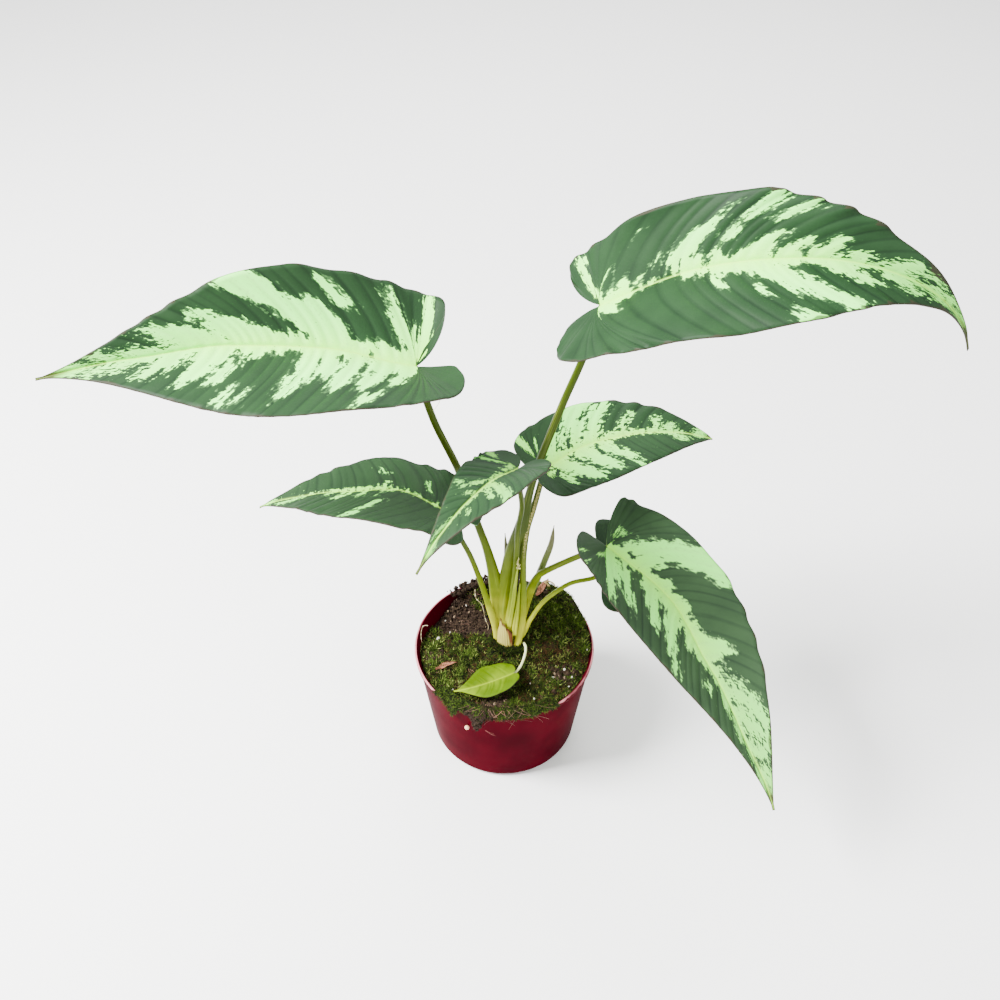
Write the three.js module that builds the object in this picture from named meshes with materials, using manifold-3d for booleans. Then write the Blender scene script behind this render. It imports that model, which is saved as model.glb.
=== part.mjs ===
// Schismatoglottis pusilla in a round nursery pot.
// Millimetres, +Z up, +X right, +Y away from the viewer, origin at the centre of the pot's underside.
import * as THREE from 'three';
import { mergeVertices } from 'three/addons/utils/BufferGeometryUtils.js';
import Module from 'manifold-3d';

const wasm = await Module();
wasm.setup();

// Driving dimensions
const GAP = 0.3;
const POT = {
  height: 68, rimRadius: 50, neckRadius: 49, baseRadius: 41, wall: 1.3, floor: 1.8, corner: 4, sides: 64,
};
const LIP = { height: 3.2, step: 0.6, swell: 0.2, round: 0.8, innerRound: 0.4 };
const DRAIN = { count: 6, radius: 2.5, circle: 27, sides: 16 };
const SOIL = { level: 64, edgeRoll: 0.35, rollStart: 0.8, sectors: 60, rings: 6 };
const MOUNDS = [
  { x: 34, y: 27, rise: 18, spread: 18 },
  { x: -34, y: 22, rise: -6.5, spread: 12 },
  { x: 2, y: 5, rise: 5, spread: 12 },
  { x: -22, y: 46, rise: 6, spread: 9 },
];
const MOSS = {
  thickness: 3, thinnest: 0.8, from: -198, to: 114, fade: 25, cushion: 1.1, cushionSize: 14,
};
const CROWN = { x: 2.6, y: 2.4, radius: 8.4, hole: 8.9, top: 69.5, bottom: 56, foot: 3, sides: 28 };
const STEM_FOOT = CROWN.top + GAP;
const SHEATH = {
  radius: 6.4, topRadius: 5.9, height: 25, shortest: 0.54, corner: 0.5, from: 208, to: 282, thickness: 0.7,
};
const BLADE = {
  thickness: 0.8, keel: 1.0, keelWidth: 0.25, tip: 0.5, veinLead: 0.17, veinBend: 1.6, pleat: 0.35,
  tipReach: 0.28, columns: 8, bigColumns: 10, bigVeins: 10,
};
const STEM = { sides: 10, steps: 18, sheathPart: 0.35 };
const SHOOT = { sides: 8, steps: 16, tipRadius: 0.4, taper: 2.6 };
const MIDRIB_STEPS = 60;
const DEG = Math.PI / 180;

const COLOURS = {
  pot: 0x6e1420,
  soil: 0x2e211a,
  moss: 0x4a5a1e,
  crown: 0xd8cf9a,
  sheath: 0xc8a878,
  stem: 0xa9bd4c,
  paleStem: 0xd6dca0,
  darkBlade: 0x4f8258,
  paleBlade: 0xb9dfa6,
  limeBlade: 0xaac83c,
  withered: 0x6b4630,
};

// Leaf blades. Angles are degrees: heading is turned from +X towards +Y, rise is the slope at the
// junction, droop is the slope lost by the tip, roll lifts the left half, fold lifts both halves. The
// bow is how far the midrib lies to the left of the middle at a quarter, half and three quarters of
// the length, as a share of half the width. A lobe that isn't round has its own curve points.
const LEAVES = [
  { name: 'upper_left', junction: [-40.7, 15, 248.2], length: 165, width: 84.5, heading: 194, rise: 17,
    droop: 27.5, roll: -6.5, sweep: -6, twist: -35, fold: 25, lobe: 0.08, widest: 0.29,
    shoulder: 1.07, tipPull: 0.71, tipWidth: 0.16, leftHalf: 1.2, lobeDrop: -30, veins: 12,
    bow: [-0.14, -0.13, -0.04], colour: 'paleBlade' },
  { name: 'upper_right', junction: [41.7, 20, 277.6], length: 187, width: 77, heading: -30.5, rise: 36.5,
    droop: 107, roll: 36, sweep: 40, twist: 11.5, fold: 24, lobe: 0.08, widest: 0.3,
    shoulder: 1.1, tipPull: 0.66, tipWidth: 0.17, leftHalf: 0.8, lobeDrop: 0, droopPower: 1.8, veins: 12,
    bow: [0.05, 0.02, 0], ripple: 1.2, waves: 7, colour: 'darkBlade' },
  { name: 'lower_right', junction: [52.1, 0, 146.2], length: 155, width: 75.5, heading: -34.5, rise: -19.5,
    droop: 22, roll: -9.5, sweep: -40, twist: 29, fold: 17.5, lobe: 0.09, widest: 0.16,
    shoulder: 0.75, tipPull: 0.75, tipWidth: 0.18, leftHalf: 0.94, lobeDrop: -12,
    leftLobe: [[0, 0.07], [0, 0.41], [-0.23, 1]], veins: 12, bow: [0.07, -0.08, -0.1], colour: 'paleBlade' },
  { name: 'middle_right', junction: [19.9, 24, 177.3], length: 100.5, width: 49.5, heading: 32.5, rise: 8.5,
    droop: 33.5, roll: 9.5, sweep: -23.5, twist: 4.5, fold: 6, lobe: 0.08, widest: 0.29,
    shoulder: 0.9, tipPull: 0.9, tipWidth: 0.23, leftHalf: 1.08, lobeDrop: -20,
    veins: 8, bow: [0.09, 0.05, 0.02], colour: 'paleBlade' },
  { name: 'middle_left', junction: [-27.2, -14, 184.3], length: 107.5, width: 53, heading: 154, rise: 1.5,
    droop: 36, roll: 12, sweep: 20, twist: -13.5, fold: 8, lobe: 0.12, widest: 0.3,
    shoulder: 0.96, tipPull: 0.84, tipWidth: 0.19, leftHalf: 1.12, lobeDrop: 40,
    veins: 8, bow: [-0.2, 0.05, 0.1], rightTipPull: 0.66, colour: 'darkBlade' },
  { name: 'centre', junction: [5.6, -25, 221.5], length: 75, width: 35.5, heading: 239.5, rise: 19,
    droop: 67.5, roll: 8, sweep: -16.5, twist: -4, fold: 14.5, lobe: 0.12, widest: 0.19,
    shoulder: 0.9, tipPull: 0.69, tipWidth: 0.15, leftHalf: 1, lobeDrop: -6,
    veins: 8, bow: [-0.16, -0.14, -0.08], colour: 'darkBlade' },
  { name: 'hidden', junction: [60.4, 11.4, 117], length: 79, width: 59.5, heading: 1.5, rise: -13.5,
    droop: 30, roll: 3, sweep: 0, twist: 0, fold: 6, lobe: 0.145, lobeOut: 0.78, widest: 0.245,
    shoulder: 1.3, tipPull: 0.75, tipWidth: 0.17, leftHalf: 1, lobeDrop: 0,
    veins: 8, colour: 'darkBlade' },
  { name: 'lime', junction: [5.2, -23, 71.5], length: 34, width: 20, heading: 201.5, rise: -10,
    droop: -8.5, roll: 12, sweep: -10.5, twist: -32, fold: 6, lobe: 0.11, widest: 0.35,
    shoulder: 0.62, tipPull: 0.75, tipWidth: 0.16, leftHalf: 1.03, lobeDrop: 4,
    veins: 5, colour: 'limeBlade' },
];
const LEAF_DEFAULTS = { lobeOut: 0.3, droopPower: 1.4, ripple: 0.5, waves: 4, bow: [0, 0, 0] };

// Petioles: the path climbs from a foot on the crown to the junction of the blade of the same name.
const PETIOLES = {
  upper_right: {
    foot: [3, 4.6],
    via: [[3, 6.2, 98], [6.3, 6.6, 129], [9.4, 7, 151], [13.8, 9, 183], [25.8, 14, 223],
      [35.5, 18.5, 250]],
    footRadius: 3.4, radius: 2.2, topRadius: 1.7, colour: 'stem',
  },
  upper_left: {
    foot: [-1.4, 4.6],
    via: [[-2.2, 6, 90], [-5.7, 7, 117], [-9.3, 9, 135], [-14.6, 12, 153], [-22.8, 17, 182],
      [-34, 17.5, 214]],
    footRadius: 3.3, radius: 2.2, topRadius: 1.7, colour: 'stem',
  },
  middle_right: {
    foot: [6.8, -3.2],
    via: [[8.1, -1.4, 76], [9.6, 0, 88], [9.9, 1, 104], [9.7, 2.4, 122], [9.8, 4, 135], [11.4, 7, 151],
      [14.8, 11.5, 163]],
    footRadius: 1.8, radius: 2.0, topRadius: 1.5, colour: 'stem',
  },
  centre: {
    foot: [2.4, -0.4],
    via: [[2.9, -0.6, 88], [4.3, -0.2, 106], [5.5, 0.6, 125], [6.2, 0.8, 142], [6.6, 0, 158], [8.2, -5, 178],
      [7, -14, 198]],
    footRadius: 1.8, radius: 1.7, topRadius: 1.2, colour: 'stem',
  },
  middle_left: {
    foot: [-3.8, 2.4],
    via: [[-4.8, 3, 80], [-7.8, 2, 95], [-12, 0, 117], [-17.1, -5, 143], [-22.6, -10, 164]],
    footRadius: 2.0, radius: 1.7, topRadius: 1.2, colour: 'stem',
  },
  lower_right: {
    foot: [6, 6.4],
    via: [[9.8, 8.6, 86], [13, 8, 100], [16.8, 7, 114], [21.4, 5, 122], [38.8, 1, 138]],
    footRadius: 2.2, radius: 1.9, topRadius: 1.5, colour: 'stem',
  },
  hidden: {
    foot: [8.4, 2.4],
    via: [[9.8, 1.8, 73.6], [11.4, 1, 79], [14.5, 0, 90], [21.8, 2, 102.5], [34.5, 6, 111], [46.5, 9, 112]],
    footRadius: 1.6, radius: 1.3, topRadius: 1.2, colour: 'stem',
  },
  lime: {
    foot: [9.6, -0.8],
    via: [[10.8, -2.4, 71.6], [11.8, -6, 72], [11, -11, 70.6], [8.6, -17, 69.2]],
    footRadius: 0.85, radius: 0.8, topRadius: 0.7, colour: 'paleStem',
  },
};

// Young rolled shoots: closed spikes that still stand among the petioles.
const SHOOTS = [
  {
    name: 'shoot_right', radius: 1.9,
    path: [[5.4, 8, STEM_FOOT], [10.6, 10.2, 88], [17, 10.8, 107.5], [21.4, 10.6, 125],
      [24.3, 10.6, 137], [25.4, 11, 150]],
  },
  {
    name: 'shoot_left', radius: 1.3,
    path: [[0.8, 9, STEM_FOOT], [0.8, 9.8, 88], [1, 10.2, 112], [0.8, 10.2, 132], [0.2, 10, 145.4]],
  },
];

// Withered scraps lying on the moss.
const SCRAPS = [
  { name: 'withered_scrap_left', at: [-32.7, -12.5], length: 12, width: 3.8, turn: 20, curl: 60, lift: 1.1 },
  { name: 'withered_scrap_right', at: [22, 33], length: 15, width: 4, turn: 62, curl: 80, lift: 0.6 },
];
const SCRAP = { thickness: 0.7, arch: 0.02, columns: 6, rows: 8 };

// Solid geometry helpers
function point(x, y, z) {
  return new THREE.Vector3(x, y, z);
}

function mix(a, b, t) {
  return a + (b - a) * t;
}

function smooth(t) {
  const c = THREE.MathUtils.clamp(t, 0, 1);
  return c * c * (3 - 2 * c);
}

// Merges shared corners, drops triangles that have shrunk to a line and turns the faces outward.
function sealed(geometry) {
  geometry.deleteAttribute('normal');
  geometry.deleteAttribute('uv');
  const merged = mergeVertices(geometry, 1e-4);
  const index = merged.index.array;
  const position = merged.getAttribute('position');
  const corners = [point(), point(), point()];
  const kept = [];
  let volume = 0;
  for (let i = 0; i < index.length; i += 3) {
    const triangle = [index[i], index[i + 1], index[i + 2]];
    if (new Set(triangle).size === 3) {
      kept.push(...triangle);
      corners.forEach((corner, k) => corner.fromBufferAttribute(position, triangle[k]));
      volume += corners[0].dot(corners[1].clone().cross(corners[2]));
    }
  }
  merged.setIndex(volume < 0 ? kept.reverse() : kept);
  return merged;
}

// A closed solid between two sheets laid out on the same grid, u and v from 0 to 1.
function solidBetween(columns, rows, top, bottom, wraps = false) {
  const grid = new THREE.PlaneGeometry(1, 1, columns, rows);
  const count = (columns + 1) * (rows + 1);
  const places = new Float32Array(count * 6);
  for (let i = 0; i < count; i += 1) {
    const u = (i % (columns + 1)) / columns;
    const v = Math.floor(i / (columns + 1)) / rows;
    top(u, v).toArray(places, i * 3);
    bottom(u, v).toArray(places, (count + i) * 3);
  }
  const faces = Array.from(grid.index.array);
  const under = faces.map((corner) => corner + count).reverse();
  const at = (column, row) => row * (columns + 1) + column;
  const rim = [];
  const wall = (a, b) => rim.push(b, a, b + count, a, a + count, b + count);
  for (let column = 0; column < columns; column += 1) {
    wall(at(column + 1, 0), at(column, 0));
    wall(at(column, rows), at(column + 1, rows));
  }
  for (let row = 0; row < rows && !wraps; row += 1) {
    wall(at(0, row), at(0, row + 1));
    wall(at(columns, row + 1), at(columns, row));
  }
  const geometry = new THREE.BufferGeometry();
  geometry.setAttribute('position', new THREE.BufferAttribute(places, 3));
  geometry.setIndex([...faces, ...under, ...rim]);
  return sealed(geometry);
}

function manifoldOf(geometry) {
  const vertProperties = Float32Array.from(geometry.getAttribute('position').array);
  const triVerts = Uint32Array.from(geometry.index.array);
  return new wasm.Manifold(new wasm.Mesh({ numProp: 3, vertProperties, triVerts }));
}

function geometryOf(manifold) {
  const mesh = manifold.getMesh();
  const geometry = new THREE.BufferGeometry();
  geometry.setAttribute('position', new THREE.BufferAttribute(mesh.vertProperties, 3));
  geometry.setIndex(Array.from(mesh.triVerts));
  return geometry;
}

function cut(geometry, tools) {
  const body = tools.reduce((left, tool) => left.subtract(manifoldOf(tool)), manifoldOf(geometry));
  return geometryOf(body);
}

// Pot
function wallRadius(z) {
  return mix(POT.baseRadius, POT.neckRadius, z / POT.height);
}

function innerRadius(z) {
  return wallRadius(Math.min(z, POT.height)) - POT.wall;
}

function potGeometry() {
  const profile = [new THREE.Vector2(0, 0)];
  const cornerRadius = wallRadius(POT.corner);
  for (let i = 0; i <= 4; i += 1) {
    const turn = (i / 4) * 90 * DEG;
    profile.push(new THREE.Vector2(
      cornerRadius - POT.corner * (1 - Math.sin(turn)),
      POT.corner * (1 - Math.cos(turn)),
    ));
  }
  const neck = POT.height - LIP.height;
  profile.push(new THREE.Vector2(wallRadius(neck), neck));
  profile.push(new THREE.Vector2(POT.rimRadius - LIP.swell, neck + LIP.step));
  profile.push(new THREE.Vector2(POT.rimRadius, POT.height - LIP.round));
  profile.push(new THREE.Vector2(POT.rimRadius - LIP.step, POT.height));
  profile.push(new THREE.Vector2(innerRadius(POT.height) + LIP.innerRound, POT.height));
  profile.push(new THREE.Vector2(innerRadius(neck), neck));
  profile.push(new THREE.Vector2(innerRadius(POT.floor), POT.floor));
  profile.push(new THREE.Vector2(0, POT.floor));
  const shell = sealed(new THREE.LatheGeometry(profile, POT.sides).rotateX(Math.PI / 2));
  const drill = (i) => {
    const turn = (i / DRAIN.count) * 2 * Math.PI;
    const hole = new THREE.CylinderGeometry(DRAIN.radius, DRAIN.radius, POT.floor * 4, DRAIN.sides);
    hole.rotateX(Math.PI / 2);
    hole.translate(DRAIN.circle * Math.cos(turn), DRAIN.circle * Math.sin(turn), 0);
    return sealed(hole);
  };
  return cut(shell, Array.from({ length: DRAIN.count }, (_, i) => drill(i)));
}

// Soil and moss share one ground surface and one grid, so they stay parallel.
function groundHeight(x, y) {
  const hills = MOUNDS.reduce((sum, mound) => {
    const distance = Math.hypot(x - mound.x, y - mound.y);
    return sum + mound.rise * Math.exp(-((distance / mound.spread) ** 2) / 2);
  }, 0);
  return SOIL.level + hills;
}

function edgeRadius(turn, depth) {
  let radius = innerRadius(SOIL.level);
  for (let i = 0; i < 3; i += 1) {
    const z = groundHeight(radius * Math.cos(turn), radius * Math.sin(turn)) - depth;
    radius = innerRadius(z) - GAP;
  }
  return radius;
}

// A point below the ground by depth: out runs from 0 at the crown's hole to 1 at the pot's wall.
function groundPoint(turn, out, depth) {
  const edge = edgeRadius(turn, depth);
  const x = mix(CROWN.x + CROWN.hole * Math.cos(turn), edge * Math.cos(turn), out);
  const y = mix(CROWN.y + CROWN.hole * Math.sin(turn), edge * Math.sin(turn), out);
  const height = groundHeight(x, y);
  const outer = smooth((out - SOIL.rollStart) / (1 - SOIL.rollStart));
  const roll = Math.max(height - POT.height, 0) * SOIL.edgeRoll * outer;
  return point(x, y, height - roll - depth);
}

function mossThickness(degrees) {
  const inside = Math.min(degrees - MOSS.from, MOSS.to - degrees);
  return mix(MOSS.thinnest, MOSS.thickness, smooth(inside / MOSS.fade));
}

// Low cushions that stand on the moss.
function mossCushion(x, y) {
  const phase = (2 * Math.PI) / MOSS.cushionSize;
  return MOSS.cushion * Math.sin(x * phase + 1) * Math.cos(y * phase);
}

function soilDepth(degrees) {
  const turned = degrees > MOSS.to ? degrees - 360 : degrees;
  return GAP + (turned < MOSS.from ? MOSS.thinnest : mossThickness(turned));
}

function soilGeometry() {
  const rows = SOIL.rings + 2;
  const top = (u, v) => {
    const row = Math.round(v * rows);
    const degrees = mix(MOSS.from, MOSS.from + 360, u);
    const turn = degrees * DEG;
    const reach = row === 0 ? 0 : CROWN.hole;
    if (row < 2) {
      return point(CROWN.x + reach * Math.cos(turn), CROWN.y + reach * Math.sin(turn), CROWN.bottom - GAP);
    }
    return groundPoint(turn, (row - 2) / SOIL.rings, soilDepth(degrees));
  };
  const bottom = (u, v) => {
    const turn = mix(MOSS.from, MOSS.from + 360, u) * DEG;
    const reach = (innerRadius(POT.floor) - 2 * GAP) * v;
    return point(reach * Math.cos(turn), reach * Math.sin(turn), POT.floor + GAP);
  };
  return solidBetween(SOIL.sectors, rows, top, bottom, true);
}

function mossGeometry() {
  const columns = Math.round(SOIL.sectors * (MOSS.to - MOSS.from) / 360);
  const place = (u, v, raised) => {
    const degrees = mix(MOSS.from, MOSS.to, u);
    const thickness = mossThickness(degrees);
    const base = groundPoint(degrees * DEG, v, thickness);
    const cushion = mossCushion(base.x, base.y) * smooth(thickness - 1);
    return point(base.x, base.y, base.z + (raised ? thickness + cushion : 0));
  };
  return solidBetween(columns, SOIL.rings, (u, v) => place(u, v, true), (u, v) => place(u, v, false));
}

function crownGeometry() {
  const { radius, top, bottom, foot } = CROWN;
  const profile = [
    new THREE.Vector2(0, bottom),
    new THREE.Vector2(radius - foot / 2, bottom),
    new THREE.Vector2(radius, bottom + foot),
    new THREE.Vector2(radius, top - foot / 3),
    new THREE.Vector2(radius - foot / 5, top),
    new THREE.Vector2(0, top),
  ];
  const body = new THREE.LatheGeometry(profile, CROWN.sides).rotateX(Math.PI / 2);
  return sealed(body.translate(CROWN.x, CROWN.y, 0));
}

// A dry papery sheath stands on the crown, hugs the front of the stems and ends in one torn point.
function sheathGeometry() {
  const place = (u, v, outward) => {
    const turn = mix(SHEATH.from, SHEATH.to, u) * DEG;
    const radius = mix(SHEATH.radius, SHEATH.topRadius, v) + outward;
    const torn = mix(1, SHEATH.shortest, u) * mix(SHEATH.corner, 1, Math.min(u / 0.25, 1));
    const z = STEM_FOOT + v * SHEATH.height * torn;
    return point(CROWN.x + radius * Math.cos(turn), CROWN.y + radius * Math.sin(turn), z);
  };
  return solidBetween(8, 5, (u, v) => place(u, v, SHEATH.thickness), (u, v) => place(u, v, 0));
}

// Leaf blades
function midribOf(leaf) {
  const steps = [];
  const place = point(...leaf.junction);
  for (let i = 0; i <= MIDRIB_STEPS; i += 1) {
    const t = i / MIDRIB_STEPS;
    const pitch = (leaf.rise - leaf.droop * t ** leaf.droopPower) * DEG;
    const heading = (leaf.heading + leaf.sweep * t) * DEG;
    const along = point(Math.cos(heading), Math.sin(heading), Math.tan(pitch)).normalize();
    if (i > 0) {
      const mean = steps[i - 1].along.clone().add(along).multiplyScalar(0.5);
      place.addScaledVector(mean, leaf.length / MIDRIB_STEPS);
    }
    const level = point(-Math.sin(heading), Math.cos(heading), 0);
    const roll = (leaf.roll + leaf.twist * t) * DEG;
    const left = level.applyAxisAngle(along, roll);
    steps.push({ place: place.clone(), along, left, up: along.clone().cross(left) });
  }
  return steps;
}

function midribFrame(leaf, s) {
  const t = THREE.MathUtils.clamp(s, 0, 1) * MIDRIB_STEPS;
  const low = Math.min(Math.floor(t), MIDRIB_STEPS - 1);
  const [a, b] = [leaf.midrib[low], leaf.midrib[low + 1]];
  const part = t - low;
  return {
    place: a.place.clone().lerp(b.place, part),
    along: a.along.clone().lerp(b.along, part).normalize(),
    left: a.left.clone().lerp(b.left, part).normalize(),
    up: a.up.clone().lerp(b.up, part).normalize(),
  };
}

// The half outline, from the sinus over the lobe and the widest place to the tip, t from 0 to 1.
// x is the station along the midrib over the length, y is the reach over half the width.
function halfOutline(leaf, tipPull, lobePoints) {
  const { lobe, lobeOut, shoulder, widest, tipWidth } = leaf;
  const round = [[-lobe, lobeOut], [-lobe * 1.05, Math.max(shoulder, lobeOut)], [0, 1]];
  const near = [...(lobePoints ?? round), [widest, 1]].map(([x, y]) => new THREE.Vector2(x, y));
  const outline = new THREE.CurvePath();
  outline.add(new THREE.CubicBezierCurve(...near));
  outline.add(new THREE.CubicBezierCurve(
    new THREE.Vector2(widest, 1),
    new THREE.Vector2(widest + BLADE.tipReach, 1),
    new THREE.Vector2(tipPull, tipWidth),
    new THREE.Vector2(1, 0),
  ));
  return outline;
}

// How far the midrib lies to the left of the middle line at station s.
function midribBow(leaf, s) {
  const values = [0, ...leaf.bow, 0];
  const t = THREE.MathUtils.clamp(s, 0, 1) * 4;
  const low = Math.min(Math.floor(t), 3);
  return (leaf.width / 2) * mix(values[low], values[low + 1], smooth(t - low));
}

// A vein lane: its margin point, and the point at which it leaves the midrib.
function laneOf(leaf, v, side) {
  const end = v * 2;
  const outline = side > 0 ? leaf.leftOutline : leaf.rightOutline;
  const curve = outline.curves[end < 1 ? 0 : 1];
  const margin = curve.getPoint(end < 1 ? end : end - 1);
  const lead = BLADE.veinLead * (1 - Math.max(margin.x, 0) ** 4);
  return { margin, start: Math.max(margin.x - lead, 0) };
}

// A point of the blade's middle surface. u runs over the blade from the right margin to the left.
function bladePoint(leaf, u, v) {
  const side = u < 0.5 ? -1 : 1;
  const lane = laneOf(leaf, v, side);
  const across = Math.abs(u - 0.5) * 2;
  const half = (leaf.width / 2) * (side > 0 ? leaf.leftHalf : 1);
  const behind = THREE.MathUtils.clamp(-lane.margin.x / leaf.lobe, 0, 1);
  const quarter = across * Math.PI / 2;
  const fullReach = Math.max(lane.margin.y * half, BLADE.tip);
  const reach = fullReach * mix(across, 1 - Math.cos(quarter), behind / 2);
  const bend = mix(across ** BLADE.veinBend, Math.sin(quarter), behind);
  const s = mix(lane.start, lane.margin.x, bend);
  const frame = midribFrame(leaf, s);
  const back = Math.min(s, 0);
  const fold = leaf.fold * DEG;
  const drop = (Math.sin(leaf.lobeDrop * DEG) * leaf.length * back * back) / leaf.lobe;
  const swell = Math.sin(Math.PI * v);
  const wave = leaf.ripple * Math.sin(2 * Math.PI * leaf.waves * v + side) * across ** 3 * swell;
  const row = Math.round(v * leaf.veins * 2);
  const pleat = row % 2 === 1 ? BLADE.pleat * Math.sin(Math.PI * across) * swell : 0;
  const middle = frame.place.clone();
  middle.addScaledVector(frame.along, back * leaf.length);
  middle.addScaledVector(frame.left, side * reach * Math.cos(fold) + midribBow(leaf, s) * (1 - across));
  middle.addScaledVector(frame.up, reach * Math.sin(fold) - drop + wave + pleat);
  const normal = frame.up.clone().multiplyScalar(Math.cos(fold));
  normal.addScaledVector(frame.left, across > 0 ? -side * Math.sin(fold) : 0).normalize();
  const keel = BLADE.keel * (1 - smooth(s)) * Math.max(1 - across / BLADE.keelWidth, 0);
  return { middle, normal, keel };
}

function bladeGeometry(leaf) {
  const lift = (u, v, under) => {
    const { middle, normal, keel } = bladePoint(leaf, u, v);
    const offset = under ? -BLADE.thickness / 2 - keel : BLADE.thickness / 2;
    return middle.addScaledVector(normal, offset);
  };
  const columns = leaf.veins > BLADE.bigVeins ? BLADE.bigColumns : BLADE.columns;
  const upper = (u, v) => lift(u, v, false);
  const under = (u, v) => lift(u, v, true);
  return solidBetween(columns, leaf.veins * 2, upper, under);
}

// Stems: a tapered round spindle bent along a curve, its ends cut along the given planes.
function stemGeometry(path, radiusAt, { sides, steps, endNormal = null, grow = 0 }) {
  const curve = new THREE.CatmullRomCurve3(path.map((place) => point(...place)));
  const frames = curve.computeFrenetFrames(steps, false);
  const profile = [new THREE.Vector2(0, 0)];
  for (let i = 0; i <= steps; i += 1) {
    profile.push(new THREE.Vector2(radiusAt(i / steps) + grow, i));
  }
  profile.push(new THREE.Vector2(0, steps));
  const geometry = new THREE.LatheGeometry(profile, sides);
  const position = geometry.getAttribute('position');
  for (let i = 0; i < position.count; i += 1) {
    const step = Math.round(position.getY(i));
    const centre = curve.getPointAt(step / steps);
    const spot = centre.clone();
    spot.addScaledVector(frames.normals[step], position.getX(i));
    spot.addScaledVector(frames.binormals[step], position.getZ(i));
    const plane = step === 0 ? point(0, 0, 1) : endNormal;
    if (plane && (step === 0 || step === steps)) {
      const along = frames.tangents[step];
      spot.addScaledVector(along, centre.clone().sub(spot).dot(plane) / along.dot(plane));
    }
    position.setXYZ(i, spot.x, spot.y, spot.z);
  }
  return sealed(geometry);
}

function petiolePath(petiole, leaf) {
  const { middle, normal, keel } = bladePoint(leaf, 0.5, 0);
  const top = middle.addScaledVector(normal, -BLADE.thickness / 2 - keel - GAP);
  return [[...petiole.foot, STEM_FOOT], ...petiole.via, top.toArray()];
}

// The petiole's foot is a swollen sheath, the rest tapers to the blade.
function petioleRadius(petiole) {
  return (t) => {
    const sheath = (petiole.footRadius - petiole.radius) * (1 - smooth(t / STEM.sheathPart));
    return mix(petiole.radius, petiole.topRadius, t) + sheath;
  };
}

function petioleGeometry(name, grow = 0) {
  const petiole = PETIOLES[name];
  const leaf = leafNamed(name);
  const { normal } = bladePoint(leaf, 0.5, 0);
  const shape = { sides: STEM.sides, steps: STEM.steps, endNormal: normal, grow };
  return stemGeometry(petiolePath(petiole, leaf), petioleRadius(petiole), shape);
}

function shootGeometry(shoot) {
  const radiusAt = (t) => Math.max(shoot.radius * (1 - t ** SHOOT.taper), SHOOT.tipRadius);
  return stemGeometry(shoot.path, radiusAt, { sides: SHOOT.sides, steps: SHOOT.steps });
}

// A scrap is a small curled strip that follows the ground.
function scrapGeometry(scrap) {
  const place = (u, v, raised) => {
    const along = (v - 0.5) * scrap.length;
    const half = (scrap.width / 2) * Math.sin(Math.PI * mix(0.12, 0.95, v));
    const turn = scrap.turn * DEG;
    const across = (u - 0.5) * 2 * half;
    const x = scrap.at[0] + along * Math.cos(turn) - across * Math.sin(turn);
    const y = scrap.at[1] + along * Math.sin(turn) + across * Math.cos(turn);
    const bend = (across * across) / scrap.width + along * along * SCRAP.arch;
    const curl = Math.sin(scrap.curl * DEG) * bend;
    return point(x, y, groundHeight(x, y) + mossCushion(x, y) + scrap.lift + curl + raised);
  };
  const upper = (u, v) => place(u, v, SCRAP.thickness);
  return solidBetween(SCRAP.columns, SCRAP.rows, upper, (u, v) => place(u, v, 0));
}

// Assembly
const leaves = LEAVES.map((entry) => {
  const leaf = { ...LEAF_DEFAULTS, ...entry };
  leaf.midrib = midribOf(leaf);
  leaf.leftOutline = halfOutline(leaf, leaf.tipPull, leaf.leftLobe);
  leaf.rightOutline = halfOutline(leaf, leaf.rightTipPull ?? leaf.tipPull);
  return leaf;
});

function leafNamed(name) {
  return leaves.find((leaf) => leaf.name === name);
}

const plant = new THREE.Group();
plant.name = 'potted_schismatoglottis';

function add(name, geometry, colour, roughness = 0.6) {
  const flat = geometry.toNonIndexed();
  flat.computeVertexNormals();
  const material = new THREE.MeshStandardMaterial({ color: COLOURS[colour], roughness, metalness: 0 });
  const mesh = new THREE.Mesh(flat, material);
  mesh.name = name;
  plant.add(mesh);
}

add('pot', potGeometry(), 'pot', 0.35);
add('soil', soilGeometry(), 'soil', 0.95);
add('moss', mossGeometry(), 'moss', 0.95);
add('crown', crownGeometry(), 'crown');
add('papery_sheath', sheathGeometry(), 'sheath', 0.8);

// Each petiole is hollowed where the one before it passes, as sheaths clasp each other.
const clearances = [];
Object.entries(PETIOLES).forEach(([name, petiole]) => {
  add(`petiole_${name}`, cut(petioleGeometry(name), clearances), petiole.colour, 0.5);
  clearances.push(petioleGeometry(name, GAP));
});
SHOOTS.forEach((shoot) => add(shoot.name, cut(shootGeometry(shoot), clearances), 'stem', 0.5));
leaves.forEach((leaf) => add(`blade_${leaf.name}`, bladeGeometry(leaf), leaf.colour, 0.45));
SCRAPS.forEach((scrap) => add(scrap.name, scrapGeometry(scrap), 'withered', 0.9));

export default plant;
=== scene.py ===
"""The look of a potted Schismatoglottis pusilla: blades, stalks, moss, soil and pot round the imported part."""
import math
import random

import bmesh
import bpy
import numpy as np
from bpy.props import FloatProperty, FloatVectorProperty, IntProperty, PointerProperty
from mathutils import Euler, Matrix, Vector, noise


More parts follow.
